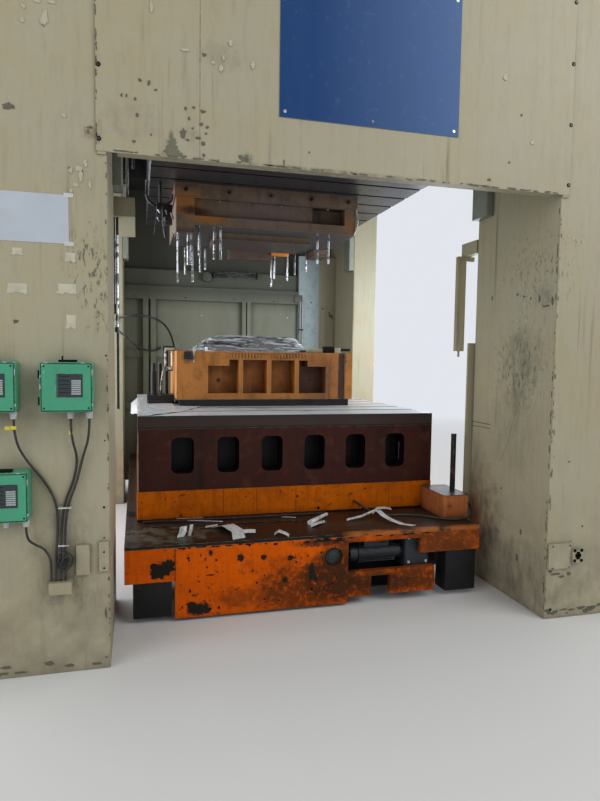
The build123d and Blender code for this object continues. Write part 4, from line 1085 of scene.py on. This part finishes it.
# Between the posts: a rod beside the left guard post, then the rear guard's rods, pipes, bolts and folds
def dress_guard():
    bright, dark, pale, olive_parts = Build(), Build(), Build(), Build()
    bright.rod((-1.3105, -1.405, 1.83), (-1.3085, -1.405, 2.43), 0.011, 14)
    dark.box((-1.328, -1.412, 1.955), (-1.296, -1.39, 1.985), 0.002)
    dark.rod((-1.3105, -1.405, 1.8), (-1.3105, -1.405, 1.835), 0.014, 10)
    for k in range(4):
        z = 2.642 + 0.02 * k
        bright.rod((-0.245, 2.11 - 0.01 * (k % 2), z), (0.286, 2.11 - 0.01 * (k % 2), z), 0.006, 10)
    dark.box((-0.262, 2.08, 2.63), (-0.245, 2.142, 2.715), 0.002)
    dark.box((0.286, 2.08, 2.63), (0.303, 2.142, 2.715), 0.002)
    olive_parts.rod((-0.339, 2.142, 2.63), (-0.339, 2.07, 2.63), 0.055, 28, bevel=0.004)
    olive_parts.rod((-0.339, 2.075, 2.63), (-0.339, 2.06, 2.63), 0.02, 16)
    olive_parts.box((0.774, 2.07, 2.357), (0.878, 2.0868, 2.451), 0.004)
    for x in (0.852, 0.88):
        pale.rod((x, 2.07, 1.4), (x, 2.07, 2.37), 0.008, 12)
        for z in (1.5, 2.0):
            dark.box((x - 0.014, 2.06, z), (x + 0.014, 2.0868, z + 0.02), 0.002)
    for x in (-1.082, -0.99, -0.4, 0.15, 0.7):
        for z in (2.161, 1.6, 0.9):
            pale.bolt((x, 2.142, z), south, 0.008)
    for x in (-1.2, -0.6, 0.0, 0.5, 1.0):
        dark.bolt((x, 2.087, 2.365), south, 0.009)
    bright.piece("guard_rods", "bright", "frame", "bright_steel")
    dark.piece("guard_clamps", "dark", "frame", "dark_steel")
    pale.piece("guard_pipes", "pale_metal", "frame", "bright_steel")
    olive_parts.piece("guard_fittings", "guard", "frame", "green_grey_paint")
    strips = Build()
    for x, wide in ((1.125, 0.006), (1.19, 0.008), (1.215, 0.005), (1.3, 0.008)):
        strips.box((x, 2.083, 0.05), (x + wide, 2.0875, 2.33), 0.001)
    strips.piece("end_post_folds", "cream", "frame", "cream_paint")
    knocks = Build()
    knocks.flakes([
        (1.155, 2.29, 14, 12), (1.192, 1.934, 12, 10), (1.27, 2.2, 34, 26), (1.25, 2.24, 20, 10),
        (1.29, 2.17, 10, 20),
    ], 2.087, 950)
    knocks.piece("end_post_knocks", "chip", "frame", "cream_paint")


def joint_bolts():
    """Bolts where the crown sits on the posts, round the cylinder heads, and along the rear lintel."""
    bolts = Build()
    for x in (-1.5, -1.42, 1.42, 1.5):
        for y in (-2.335, 2.335):
            out = south if y < 0 else north
            face = y if y < 0 else rear_y + 0.01
            for z in (5.08, 4.96):
                bolts.bolt((x, face, z), out, 0.016)
    for side in (-1, 1):
        for y in (-2.2, -2.0, -1.8, -1.6, 1.6, 1.8, 2.0, 2.2):
            bolts.bolt((side * outer_x, y, 5.1), (side, 0, 0), 0.016)
    cylinder_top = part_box("cylinders")[1].z
    for x, radius in ((-0.93, 0.24), (0, 0.3), (0.93, 0.24)):
        for u, v in circle(12, radius * 0.82)[:-1]:
            bolts.bolt((x + u, v, cylinder_top), top_side, 0.017)
    for side in (-1, 1):
        for z in [2.75 + 0.4 * i for i in range(6)]:
            bolts.bolt((side * 1.5, rear_y + 0.01, z), north, 0.012)
    bolts.piece("joint_bolts", "dark", "frame", "dark_steel")


# On the slide: fittings and a bent pipe beside the upper die, and two rods hanging from a shoe
def dress_slide():
    dark, bright, pale, orange_block = Build(), Build(), Build(), Build()
    y = -0.5
    pipe = []
    for i in range(17):
        a = pi * i / 16
        pipe.append((-1.005 - 0.1 * cos(a), y, 2.93 - 0.085 * sin(a)))
    dark.sweep([(-1.105, y, slide_foot + 0.001)] + pipe + [(-0.905, y, 2.95)], 0.011, 9)
    pick = random.Random(12)
    dark.box((-0.985, y - 0.03, 2.7), (-0.905, y + 0.02, 2.86), 0.008)
    dark.box((-1.03, y - 0.02, 2.815), (-0.96, y + 0.02, 2.87), 0.006)
    dark.rod((-1.0, y, 2.87), (-1.0, y, slide_foot), 0.012, 10)
    for i in range(9):
        x, z = -0.99 + pick.uniform(-0.03, 0.1), 2.62 + pick.uniform(0, 0.24)
        bright.rod(
            (x, y - 0.035, z), (x + pick.uniform(-0.02, 0.02), y - 0.035, z + pick.uniform(0.02, 0.05)),
            pick.uniform(0.006, 0.011), 8,
        )
    dark.rod((-0.97, y, 2.7), (-0.955, y, 2.6), 0.013, 10)
    dark.rod((-1.02, y, 2.82), (-1.045, y, 2.62), 0.006, 8)
    pale.sweep(
        [
            (0.655, -0.512, 2.944), (0.668, -0.525, 2.89), (0.673, -0.525, 2.83), (0.66, -0.525, 2.77),
            (0.64, -0.515, 2.715),
        ],
        0.006, 8,
    )
    orange_block.box((0.099, 0.36, 2.656), (0.277, 0.44, 2.734), 0.006)
    shoe_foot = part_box("slide_shoes")[0].z
    rail_depth = 0.06
    rail_face = rail_depth - inner_x
    for x, tip in ((rail_face + 0.027, 2.665), (rail_face + 0.066, 2.85)):
        bright.rod((x, -1.45, tip), (x, -1.45, shoe_foot), 0.009, 12)
        dark.rod((x, -1.45, shoe_foot - 0.03), (x, -1.45, shoe_foot), 0.014, 6)
    for x in (-0.8, -0.45, -0.1, 0.25, 0.58):
        dark.bolt((x, -0.53, 2.99), south, 0.014)
        dark.bolt((x, 0.53, 2.99), north, 0.014)
    for x in (-0.523, -0.006, 0.4):
        bright.bolt((x, -0.518, 2.915), south, 0.009)
    dark.piece("die_fittings", "dark", "slide", "dark_steel")
    bright.piece("die_bright_fittings", "bright", "slide", "bright_steel")
    pale.piece("die_air_pipe", "tie", "slide", "white_sheet")
    orange_block.piece("die_rear_block", "bright_orange", "slide", "die_orange")


# The drawn panel on the lower die: a domed sheet with a flared skirt, in place of its plain solid, which it
# hides
def make_panel():
    low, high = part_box("stamped_panel")
    mid_x, mid_y = (low.x + high.x) / 2, (low.y + high.y) / 2
    half_x, half_y = (high.x - low.x) / 2, (high.y - low.y) / 2
    steps_x, steps_y = 96, 56
    skirt = 0.045

    def ease(t):
        t = max(0.0, min(1.0, t))
        return t * t * (3 - 2 * t)

    def height(u, v):
        edge_x = 1 - abs(u)
        edge_y = 1 - abs(v)
        rise_x = ease((edge_x - 0.02) / (0.46 if u < 0 else 0.36))
        rise_y = ease((edge_y - 0.1) / 0.42)
        dome = rise_x * rise_y
        ring = dome * (1 - 0.16 * ease((edge_x - 0.6) / 0.3) * ease((edge_y - 0.5) / 0.4))
        z = low.z + 0.012 + (high.z - low.z - 0.02) * ring + 0.004 * sin(3 * u + 1) * dome
        z += 0.004 * sin(9 * u + 2 * v) * (1 - dome) + 0.003 * sin(5 * u) * dome * sin(4 * v)
        z -= 0.01 * ease((0.06 - min(edge_x, edge_y)) / 0.06)
        ripple = 0.006 * sin(23 * u) * (1 - ease(edge_y / 0.2))
        ripple += 0.005 * sin(17 * v) * (1 - ease(edge_x / 0.12))
        return (mid_x + u * (half_x + skirt), mid_y + v * (half_y - 0.008) + ripple, z)

    across = [-1 + 2 * i / steps_x for i in range(steps_x + 1)]
    along = [-1 + 2 * i / steps_y for i in range(steps_y + 1)]
    panel = Build().grid(across, along, height, 0.0018).piece(
        "drawn_panel", "sheet", "bolster", "galvanised_sheet",
    )
    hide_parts("stamped_panel")


def dress_die():
    teeth, dark, bright, beige, purple = Build(), Build(), Build(), Build(), Build()
    for i in range(25):
        x = -0.43 + i * 0.0278
        teeth.box((x, die_low.y - 0.006, 1.638), (x + 0.016, die_low.y + 0.002, 1.672), 0.003)
    for x, z in ((-0.498, 1.446), (0.322, 1.447)):
        dark.rod((x, die_low.y + 0.201, z), (x, die_low.y + 0.1985, z), 0.017, 18)
    dark.box((-0.808, die_low.y - 0.0015, 1.622), (-0.742, die_low.y + 0.001, 1.686), 0.0)
    bright.rod((-0.729, die_low.y - 0.012, 1.6), (-0.729, die_low.y - 0.012, 1.715), 0.006, 10)
    bright.box((0.603, die_low.y - 0.002, 1.585), (0.611, die_low.y + 0.001, 1.672), 0.001)
    bright.rod((-0.62, -0.42, die_high.z), (-0.62, -0.42, die_high.z + 0.035), 0.01, 12)
    for x in (-0.7, -0.28, 0.1, 0.35):
        for y in (-0.4, 0.4):
            bright.bolt((x, y, die_high.z), top_side, 0.011)
    beige.box((0.268, -0.44, die_high.z), (0.4, -0.345, die_high.z + 0.036), 0.005)
    beige.box((0.505, -0.455, die_high.z - 0.001), (0.56, -0.36, die_high.z + 0.045), 0.004)
    beige.box((-0.95, -0.19, 1.7), (-0.868, -0.12, 1.722), 0.003)
    purple.box((0.418, -0.45, die_high.z), (0.505, -0.35, die_high.z + 0.058), 0.005)
    dark.rod((0.55, -0.4, die_high.z + 0.03), (0.664, -0.4, die_high.z + 0.03), 0.012, 12)
    dark.box((0.2, -0.45, die_high.z), (0.245, -0.4, die_high.z + 0.02), 0.004)
    # Beside the die: rod ends, a chain and fittings over the lifters
    bright.rod((-0.943, -0.16, 1.56), (-0.943, -0.16, 1.7), 0.009, 10)
    for i in range(7):
        z = 1.56 + i * 0.0165
        bright.rod((-0.884, -0.145, z), (-0.884, -0.145, z + 0.011), 0.012 - 0.003 * (i % 2), 10)
    bright.sweep(
        [(-0.99, -0.16, 1.3), (-0.985, -0.17, 1.4), (-0.972, -0.17, 1.5), (-0.95, -0.165, 1.56)], 0.006, 8,
    )
    bright.box((-0.94, -0.175, 1.52), (-0.88, -0.125, 1.56), 0.008)
    dark.rod((-1.045, -0.1, 1.3), (-1.045, -0.1, 1.52), 0.024, 14)
    dark.box((-1.09, -0.15, 1.23), (-0.87, 0.0, 1.262), 0.006)
    teeth.piece("die_teeth", "lower_die", "bolster", "die_orange")
    dark.piece("die_dark_parts", "dark", "bolster", "dark_steel")
    bright.piece("die_bright_parts", "bright", "bolster", "bright_steel")
    beige.piece("die_pads", "flake", "bolster", "die_orange")
    purple.piece("die_key", "maroon", "bolster", "maroon_iron")


# Lying on the bolster and the deck: a folded film, offcuts and thin strips
def make_litter():
    outline = [
        (-1.24, 0.6), (-0.93, 0.46), (-0.885, 0.3), (-0.885, -0.47), (-0.66, -0.475), (-0.86, -0.95),
        (-1.09, -1.235), (-1.17, -1.235), (-1.235, -0.61),
    ]
    low_y, high_y = -1.235, 0.6

    def crossing(y):
        places = []
        for (x0, y0), (x1, y1) in zip(outline, outline[1:] + outline[:1]):
            if (y0 - y) * (y1 - y) <= 0 and y0 != y1:
                places.append(x0 + (x1 - x0) * (y - y0) / (y1 - y0))
        return min(places), max(places)

    def film(u, v):
        y = low_y + 0.001 + (high_y - low_y - 0.002) * v
        left, right = crossing(y)
        x = left + (right - left) * u
        over = max(0.0, slab_low.x - x)
        crease = 0.003 + 0.003 * sin(21 * x + 7 * y) * sin(9 * y) + 0.002 * sin(31 * y + 17 * x)
        z = slab_high.z + 0.003 + max(0.0, crease)
        if over:
            z -= min(0.05, over * 0.9)
        for lift_x, lift_y, reach, rise in ((-1.13, -0.25, 0.07, 0.006), (-1.1, -0.9, 0.1, 0.008)):
            away = ((x - lift_x) ** 2 + (y - lift_y) ** 2) / reach ** 2
            z += rise * max(0.0, 1 - away)
        return (x, y, z)

    across = [i / 22 for i in range(23)]
    along = [i / 70 for i in range(71)]
    Build().grid(across, along, film, 0.0012).piece("slab_film", "film", "bolster", "white_sheet")

    z = deck_high.z

    def laid(*points):
        """A route whose heights are given above the deck."""
        return [(x, y, z + rise) for x, y, rise in points]

    scrap = Build()
    scrap.ribbon(laid((-0.92, -1.7, 0), (-0.905, -1.69, 0.03), (-0.9, -1.68, 0.062)), (1, 0.3, 0), 0.05)
    scrap.ribbon(laid((-0.862, -1.68, 0), (-0.852, -1.67, 0.035), (-0.846, -1.66, 0.066)), (1, -0.2, 0), 0.02)
    scrap.ribbon(
        laid((-0.66, -1.52, 0.004), (-0.6, -1.58, 0.03), (-0.55, -1.7, 0.02), (-0.56, -1.82, 0.002)),
        (1, 0.35, 0), 0.09,
    )
    scrap.ribbon(laid((-0.57, -1.76, 0.008), (-0.5, -1.72, 0.02), (-0.43, -1.7, 0.01)), (0.2, 1, 0.1), 0.06)
    scrap.ribbon(laid((-0.74, -1.5, 0.002), (-0.66, -1.53, 0.018)), (0.2, 1, 0), 0.04)
    scrap.ribbon(
        laid((-0.315, -1.76, 0.001), (-0.29, -1.78, 0.026), (-0.25, -1.8, 0.012), (-0.23, -1.815, 0)),
        (0.3, 1, 0), 0.06,
    )
    scrap.rod((-0.03, -1.6, z + 0.018), (0.15, -1.42, z + 0.024), 0.018, 14, 0.012)
    scrap.ribbon(laid((-0.03, -1.63, 0.002), (0.03, -1.6, 0.012), (0.1, -1.54, 0.004)), (0.2, 1, 0), 0.06)
    scrap.sweep(laid((0.26, -1.56, 0.012), (0.38, -1.52, 0.02), (0.5, -1.46, 0.04)), 0.009, 8)
    scrap.ribbon(
        laid((0.48, -1.48, 0.03), (0.53, -1.47, 0.06), (0.6, -1.43, 0.05), (0.67, -1.39, 0.03)),
        (0.1, 1, 0.2), 0.035,
    )
    scrap.ribbon(
        laid(
            (0.52, -1.5, 0.05), (0.535, -1.58, 0.03), (0.56, -1.66, 0.018), (0.61, -1.73, 0.006),
            (0.68, -1.77, 0.002),
        ),
        (1, 0.3, 0), 0.045,
    )
    scrap.piece("deck_offcuts", "scrap", "bolster", "galvanised_sheet")
    strips, dull = Build(), Build()
    strips.box((-0.92, -1.276, z), (-0.73, -1.264, z + 0.008), 0.001)
    strips.ribbon(
        laid((-0.923, -1.302, 0.004), (-0.76, -1.35, 0.006), (-0.608, -1.395, 0.004)), (0.3, 1, 0), 0.012,
    )
    strips.ribbon(
        laid((-0.172, -1.36, 0.004), (-0.12, -1.38, 0.006), (-0.077, -1.397, 0.004)), (0.3, 1, 0), 0.012,
    )
    dull.box((-1.15, -1.33, z), (0.18, -1.29, z + 0.012), 0.002)
    dull.ribbon(laid((-1.1, -1.42, 0.002), (-0.5, -1.44, 0.004), (0.05, -1.47, 0.002)), (0, 1, 0), 0.03)
    strips.piece("deck_bright_strips", "scrap", "bolster", "galvanised_sheet")
    dull.piece("deck_dull_strips", "dark", "bolster", "dark_steel")


def dress_carriage():
    dark, bright = Build(), Build()
    # Rims of the holes in the front plate, seams at its ends, weld beads along the deck and the base
    hole_x, hole_z, hole_radius = 0.067, 0.342, 0.054
    ring = [(hole_x + u, plate_y - 0.001, hole_z + v) for u, v in circle(32, hole_radius + 0.003)]
    dark.sweep(ring, 0.003, 6)
    shields = Build()
    shields.rod((hole_x, plate_y + 0.022, hole_z), (hole_x, plate_y + 0.03, hole_z), hole_radius - 0.0005, 32)
    shields.rod(
        (hole_x, plate_y + 0.018, hole_z), (hole_x, plate_y + 0.023, hole_z), hole_radius * 0.6, 24,
        bevel=0.002,
    )
    shields.piece("plate_hole_cap", "slate", "bolster", "dark_steel")
    dark.box((-0.966, plate_y - 0.0015, 0.26), (-0.962, plate_y + 0.001, 0.466))
    angles = [radians(-110 + 10 * i) for i in range(17)]
    arc = [(0.035 + cos(a) * 0.05, plate_y - 0.0005, 0.2 + sin(a) * 0.045) for a in angles]
    dark.sweep(arc, 0.002, 5)
    dark.flake((-0.745, plate_y, 0.283), south, (0.028, 0.004), 30)
    scabs = Build()
    scabs.flakes([
        (-1.047, 0.333, 74, 46), (-1.0, 0.365, 40, 30), (-1.085, 0.3, 24, 20), (-0.818, 0.07, 70, 26),
        (-0.86, 0.1, 30, 22), (-0.78, 0.055, 36, 16), (-0.555, 0.378, 20, 22), (-0.406, 0.371, 17, 16),
        (-0.231, 0.355, 16, 13), (-0.745, 0.425, 9, 14), (-0.883, 0.399, 9, 9), (-0.265, 0.211, 19, 19),
        (-0.085, 0.252, 20, 56), (-0.06, 0.21, 14, 30), (-0.02, 0.453, 60, 7), (0.1, 0.45, 40, 8),
        (0.02, 0.46, 30, 5), (-0.12, 0.452, 24, 8), (0.42, 0.42, 30, 10), (-0.33, 0.453, 14, 8),
    ], plate_y, 1200, points=21, ragged=0.3, rise=0.0008)
    scabs.piece("carriage_scabs", "oil", "bolster", "orange_paint")
    pick = random.Random(21)
    for i in range(34):
        x, z = pick.uniform(-0.95, 0.16), pick.uniform(0.05, 0.46)
        size = pick.uniform(0.002, 0.007)
        dark.flake((x, plate_y, z), south, (size, size * pick.uniform(0.6, 1.6)), 1000 + i)
    for i in range(26):
        dark.flake(
            (pick.uniform(-0.95, 0.8), plate_y, 0.466 - pick.uniform(0, 0.006)),
            south, (pick.uniform(0.006, 0.03), 0.004), 1100 + i,
        )
    low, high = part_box("bolster_base")
    steps = 60
    bead = [
        (low.x + (high.x - low.x) * i / steps, low.y - 0.002, low.z + 0.004 + 0.001 * sin(i * 2.1))
        for i in range(steps + 1)
    ]
    dark.sweep(bead, 0.006, 6)
    for x in (-0.586, -0.339, -0.042, 0.706):
        dark.box((x, low.y - 0.0008, low.z + 0.03), (x + 0.0025, low.y + 0.001, high.z - 0.004))
    specks = [(-0.031, 0.618, 7, 10), (0.51, 0.655, 9, 5), (0.135, 0.52, 11, 12), (-0.42, 0.63, 5, 4)]
    dark.flakes(specks, low.y, 1300)
    bright.box((0.83, low.y + 0.11, 0.8), (0.845, low.y + 0.115, 0.99), 0.001)
    motor_low, motor_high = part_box("drive_motor")
    # Painted shade: a dark sheet behind and under the motor stands in for the shade there; the sheets and
    # bolts under the beams are guards
    sheets = Build()
    back = motor_high.y + 0.03
    sheets.box((motor_low.x - 0.06, back, 0.055), (plate_high.x, back + 0.004, deck_low.z), 0.001)
    sheets.box((motor_low.x - 0.06, plate_high.y, 0.1), (plate_high.x, back, 0.104), 0.001)
    sheets.box(
        (motor_low.x - 0.064, plate_high.y, 0.055), (motor_low.x - 0.06, back + 0.004, deck_low.z), 0.001,
    )
    for beam in ("carriage_beam_left", "carriage_beam_right"):
        low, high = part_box(beam)
        sheets.box((low.x + 0.05, plate_y + 0.012, 0.035), (high.x - 0.02, plate_y + 0.02, low.z), 0.002)
        for x in (low.x + 0.05, high.x - 0.028):
            sheets.box((x, plate_y + 0.012, 0.035), (x + 0.008, plate_y + 0.16, low.z), 0.002)
        for x in (low.x + 0.09, high.x - 0.06):
            sheets.bolt((x, plate_y + 0.012, low.z - 0.03), south, 0.01)
    sheets.piece("carriage_guards_and_shade_sheet", "dark_sheet", "bolster", "dark_steel")
    motor_y, motor_z = (motor_low.y + motor_high.y) / 2, 0.312
    bolt_circle, hoop_radius = 0.045, 0.0705
    for u, v in circle(7, bolt_circle)[:-1]:
        y, z = motor_y + u, motor_z + v
        bright.rod((motor_low.x - 0.0015, y, z), (motor_low.x + 0.002, y, z), 0.006, 8)
    for x in (motor_low.x + 0.055, motor_high.x - 0.012):
        hoop = [(x, motor_y + u, motor_z + v) for u, v in circle(24, hoop_radius)]
        dark.sweep(hoop, 0.004, 6)
    gear_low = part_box("gearbox")[0]
    for dx in (0.03, 0.16):
        for dz in (0.03, 0.2):
            bright.bolt((gear_low.x + dx, gear_low.y, gear_low.z + dz), south, 0.008)
    dark.piece("carriage_marks", "hole", "bolster", "orange_paint")
    bright.piece("drive_trim", "pale_metal", "bolster", "motor_grey")


# Cords: the same routes as their solids, in metres
gland_y = face_y - 0.055
cord_routes = {
    "cable_right_inner": (0.012, 0.85, [
        (-1.50725, gland_y, 1.332), (-1.50725, gland_y, 1.24), (-1.478, -2.365, 1.125), (-1.5, -2.357, 1.01),
        (-1.546, -2.361, 0.9), (-1.562, -2.363, 0.76), (-1.566, -2.38, 0.62), (-1.566, -2.38, 0.5),
    ]),
    "cable_right_outer": (0.012, 0.851, [
        (-1.41905, gland_y, 1.332), (-1.41905, gland_y, 1.24), (-1.456, -2.371, 1.13), (-1.482, -2.369, 1.01),
        (-1.528, -2.373, 0.89), (-1.544, -2.375, 0.76), (-1.543, -2.38, 0.62), (-1.543, -2.38, 0.5),
    ]),
    "cable_left": (0.012, 0.885, [
        (-1.77005, gland_y, 1.332), (-1.77005, gland_y, 1.235), (-1.722, -2.367, 1.12),
        (-1.64, -2.357, 1.015), (-1.582, -2.362, 0.9), (-1.578, -2.359, 0.76), (-1.589, -2.38, 0.62),
        (-1.589, -2.38, 0.5),
    ]),
    "cable_lower": (0.012, 0.344, [
        (-1.72205, gland_y, 0.796), (-1.72205, gland_y, 0.735), (-1.69, -2.375, 0.695),
        (-1.64, -2.369, 0.668), (-1.611, -2.377, 0.61), (-1.611, -2.38, 0.55), (-1.611, -2.38, 0.5),
    ]),
    "cable_deck": (0.016, 1.269, [
        (0.42, -1.256, 0.56), (0.42, -1.33, 0.56), (0.48, -1.425, 0.52), (0.6, -1.49, 0.498),
        (0.745, -1.5, 0.497), (0.865, -1.555, 0.497), (0.94, -1.65, 0.497), (1.045, -1.705, 0.497),
        (1.155, -1.69, 0.501), (1.225, -1.61, 0.525), (1.25, -1.515, 0.565), (1.24, -1.45, 0.59),
        (1.185, -1.45, 0.59),
    ]),
    "hose_upper": (0.022, 1.735, [
        (-1.4, 1.395, 2.04), (-1.4, 1.235, 2.04), (-1.25, 1.095, 2.072), (-1.01, 1.21, 2.072),
        (-0.85, 1.43, 1.98), (-0.765, 1.66, 1.79), (-0.735, 1.9, 1.59), (-0.735, 2.142, 1.59),
    ]),
    "hose_lower": (0.022, 1.528, [
        (-1.4, 1.395, 1.93), (-1.4, 1.235, 1.93), (-1.3, 1.085, 1.85), (-1.19, 1.18, 1.745),
        (-1.06, 1.38, 1.7), (-0.96, 1.62, 1.715), (-0.905, 1.88, 1.75), (-0.905, 2.142, 1.75),
    ]),
}


def make_cords():
    for node, (diameter, length, points) in cord_routes.items():
        data = bpy.data.curves.new(f"{node}_run", "CURVE")
        data.dimensions = "3D"
        data.bevel_depth = diameter / 2
        data.bevel_resolution = 4
        data.resolution_u = 16
        data.use_fill_caps = True
        spline = data.splines.new("NURBS")
        spline.points.add(len(points) - 1)
        for target, point in zip(spline.points, points):
            target.co = (*point, 1)
        spline.order_u = 3
        spline.use_endpoint_u = True
        data.materials.append(finishes["rubber"])
        piece = bpy.data.objects.new(f"{node}_run", data)
        bpy.context.scene.collection.objects.link(piece)
        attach(piece, "bolster" if node == "cable_deck" else "frame")
        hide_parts(node)
        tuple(points[0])


# Stage: a pale floor and soft light
def shown(tree, plain, seen, share=1.0):
    """The plain shader, but for the camera and in reflections, by a share, the seen one."""
    rays = tree.nodes.new("ShaderNodeLightPath")
    either = tree.nodes.new("ShaderNodeMath")
    either.operation = "MAXIMUM"
    tree.links.new(rays.outputs["Is Camera Ray"], either.inputs[0])
    tree.links.new(rays.outputs["Is Glossy Ray"], either.inputs[1])
    part = tree.nodes.new("ShaderNodeMath")
    part.operation = "MULTIPLY"
    tree.links.new(either.outputs[0], part.inputs[0])
    if isinstance(share, float):
        part.inputs[1].default_value = share
    else:
        tree.links.new(share, part.inputs[1])
    choice = tree.nodes.new("ShaderNodeMixShader")
    tree.links.new(part.outputs[0], choice.inputs[0])
    tree.links.new(plain.outputs[0], choice.inputs[1])
    tree.links.new(seen.outputs[0], choice.inputs[2])
    return choice.outputs[0]


def make_stage():
    backdrop = srgb(226, 230, 236)
    f = Finish("floor", roughness=0.8)
    f.colour = srgb(214, 214, 212)
    away = f.node("ShaderNodeVectorMath", operation="LENGTH")
    f.link(f.place, away.inputs[0])
    floor = f.done()
    far = f.node("ShaderNodeEmission")
    far.inputs["Color"].default_value = backdrop
    fade_start, fade_end = 4.0, 13.0
    surface = shown(f.tree, f.shader, far, f.remap(away.outputs["Value"], fade_start, fade_end))
    out = next(node for node in f.tree.nodes if node.type == "OUTPUT_MATERIAL")
    f.link(surface, out.inputs[0])
    data = bpy.data.meshes.new("floor")
    half = 60
    data.from_pydata(
        [(-half, -half, 0), (half, -half, 0), (half, half, 0), (-half, half, 0)], [], [(0, 1, 2, 3)],
    )
    data.materials.append(floor)
    plane = bpy.data.objects.new("floor", data)
    bpy.context.scene.collection.objects.link(plane)
    floor_drop = 0.002
    plane.location.z = -floor_drop
    world = bpy.data.worlds.new("studio")
    world.use_nodes = True
    tree = world.node_tree
    background = tree.nodes["Background"]
    background.inputs["Color"].default_value = srgb(232, 234, 238)
    background.inputs["Strength"].default_value = 0.5
    seen = tree.nodes.new("ShaderNodeBackground")
    seen.inputs["Color"].default_value = backdrop
    tree.links.new(shown(tree, background, seen), tree.nodes["World Output"].inputs[0])
    bpy.context.scene.world = world
    lamps = {
        "key": ((4.5, -7.0, 6.5), (0, -2, 1.8), 6.0, 300),
        "fill": ((-7.0, -6.5, 4.0), (-1, -2, 1.5), 6.0, 210),
        "left": ((-8.0, 1.0, 5.0), (0, 0, 2.2), 6.0, 230),
        "right": ((8.0, 1.0, 5.0), (0, 0, 2.2), 6.0, 230),
        "back": ((-2.0, 10.0, 6.0), (0, 1, 2.5), 6.0, 330),
        "gate_left": ((-2.1, 0, 1.7), (0, -0.1, 1.4), 2.4, 34),
        "gate_right": ((2.1, 0, 1.7), (0, 0.1, 1.5), 2.4, 40),
        "inner": ((2.1, -0.6, 2.1), (0.7, 2.1, 1.6), 1.2, 27),
    }
    for name, (place, target, size, power) in lamps.items():
        lamp = bpy.data.lights.new(name, "AREA")
        lamp.shape = "SQUARE"
        lamp.size = size
        lamp.energy = power
        if name in ("gate_left", "gate_right", "inner"):
            lamp.color = (0.86, 0.93, 1.0)
        thing = bpy.data.objects.new(name, lamp)
        thing.location = place
        thing.visible_camera = False
        thing.rotation_euler = (Vector(target) - Vector(place)).to_track_quat("-Z", "Y").to_euler()
        bpy.context.scene.collection.objects.link(thing)
    bpy.context.scene.view_settings.view_transform = "Standard"


place_camera()
dress_nodes()
dress_lintel()
dress_cladding()
dress_covers()
dress_boxes()
dress_cables()
dress_plates()
dress_guard()
joint_bolts()
dress_slide()
make_panel()
dress_die()
make_litter()
dress_carriage()
make_cords()
make_stage()
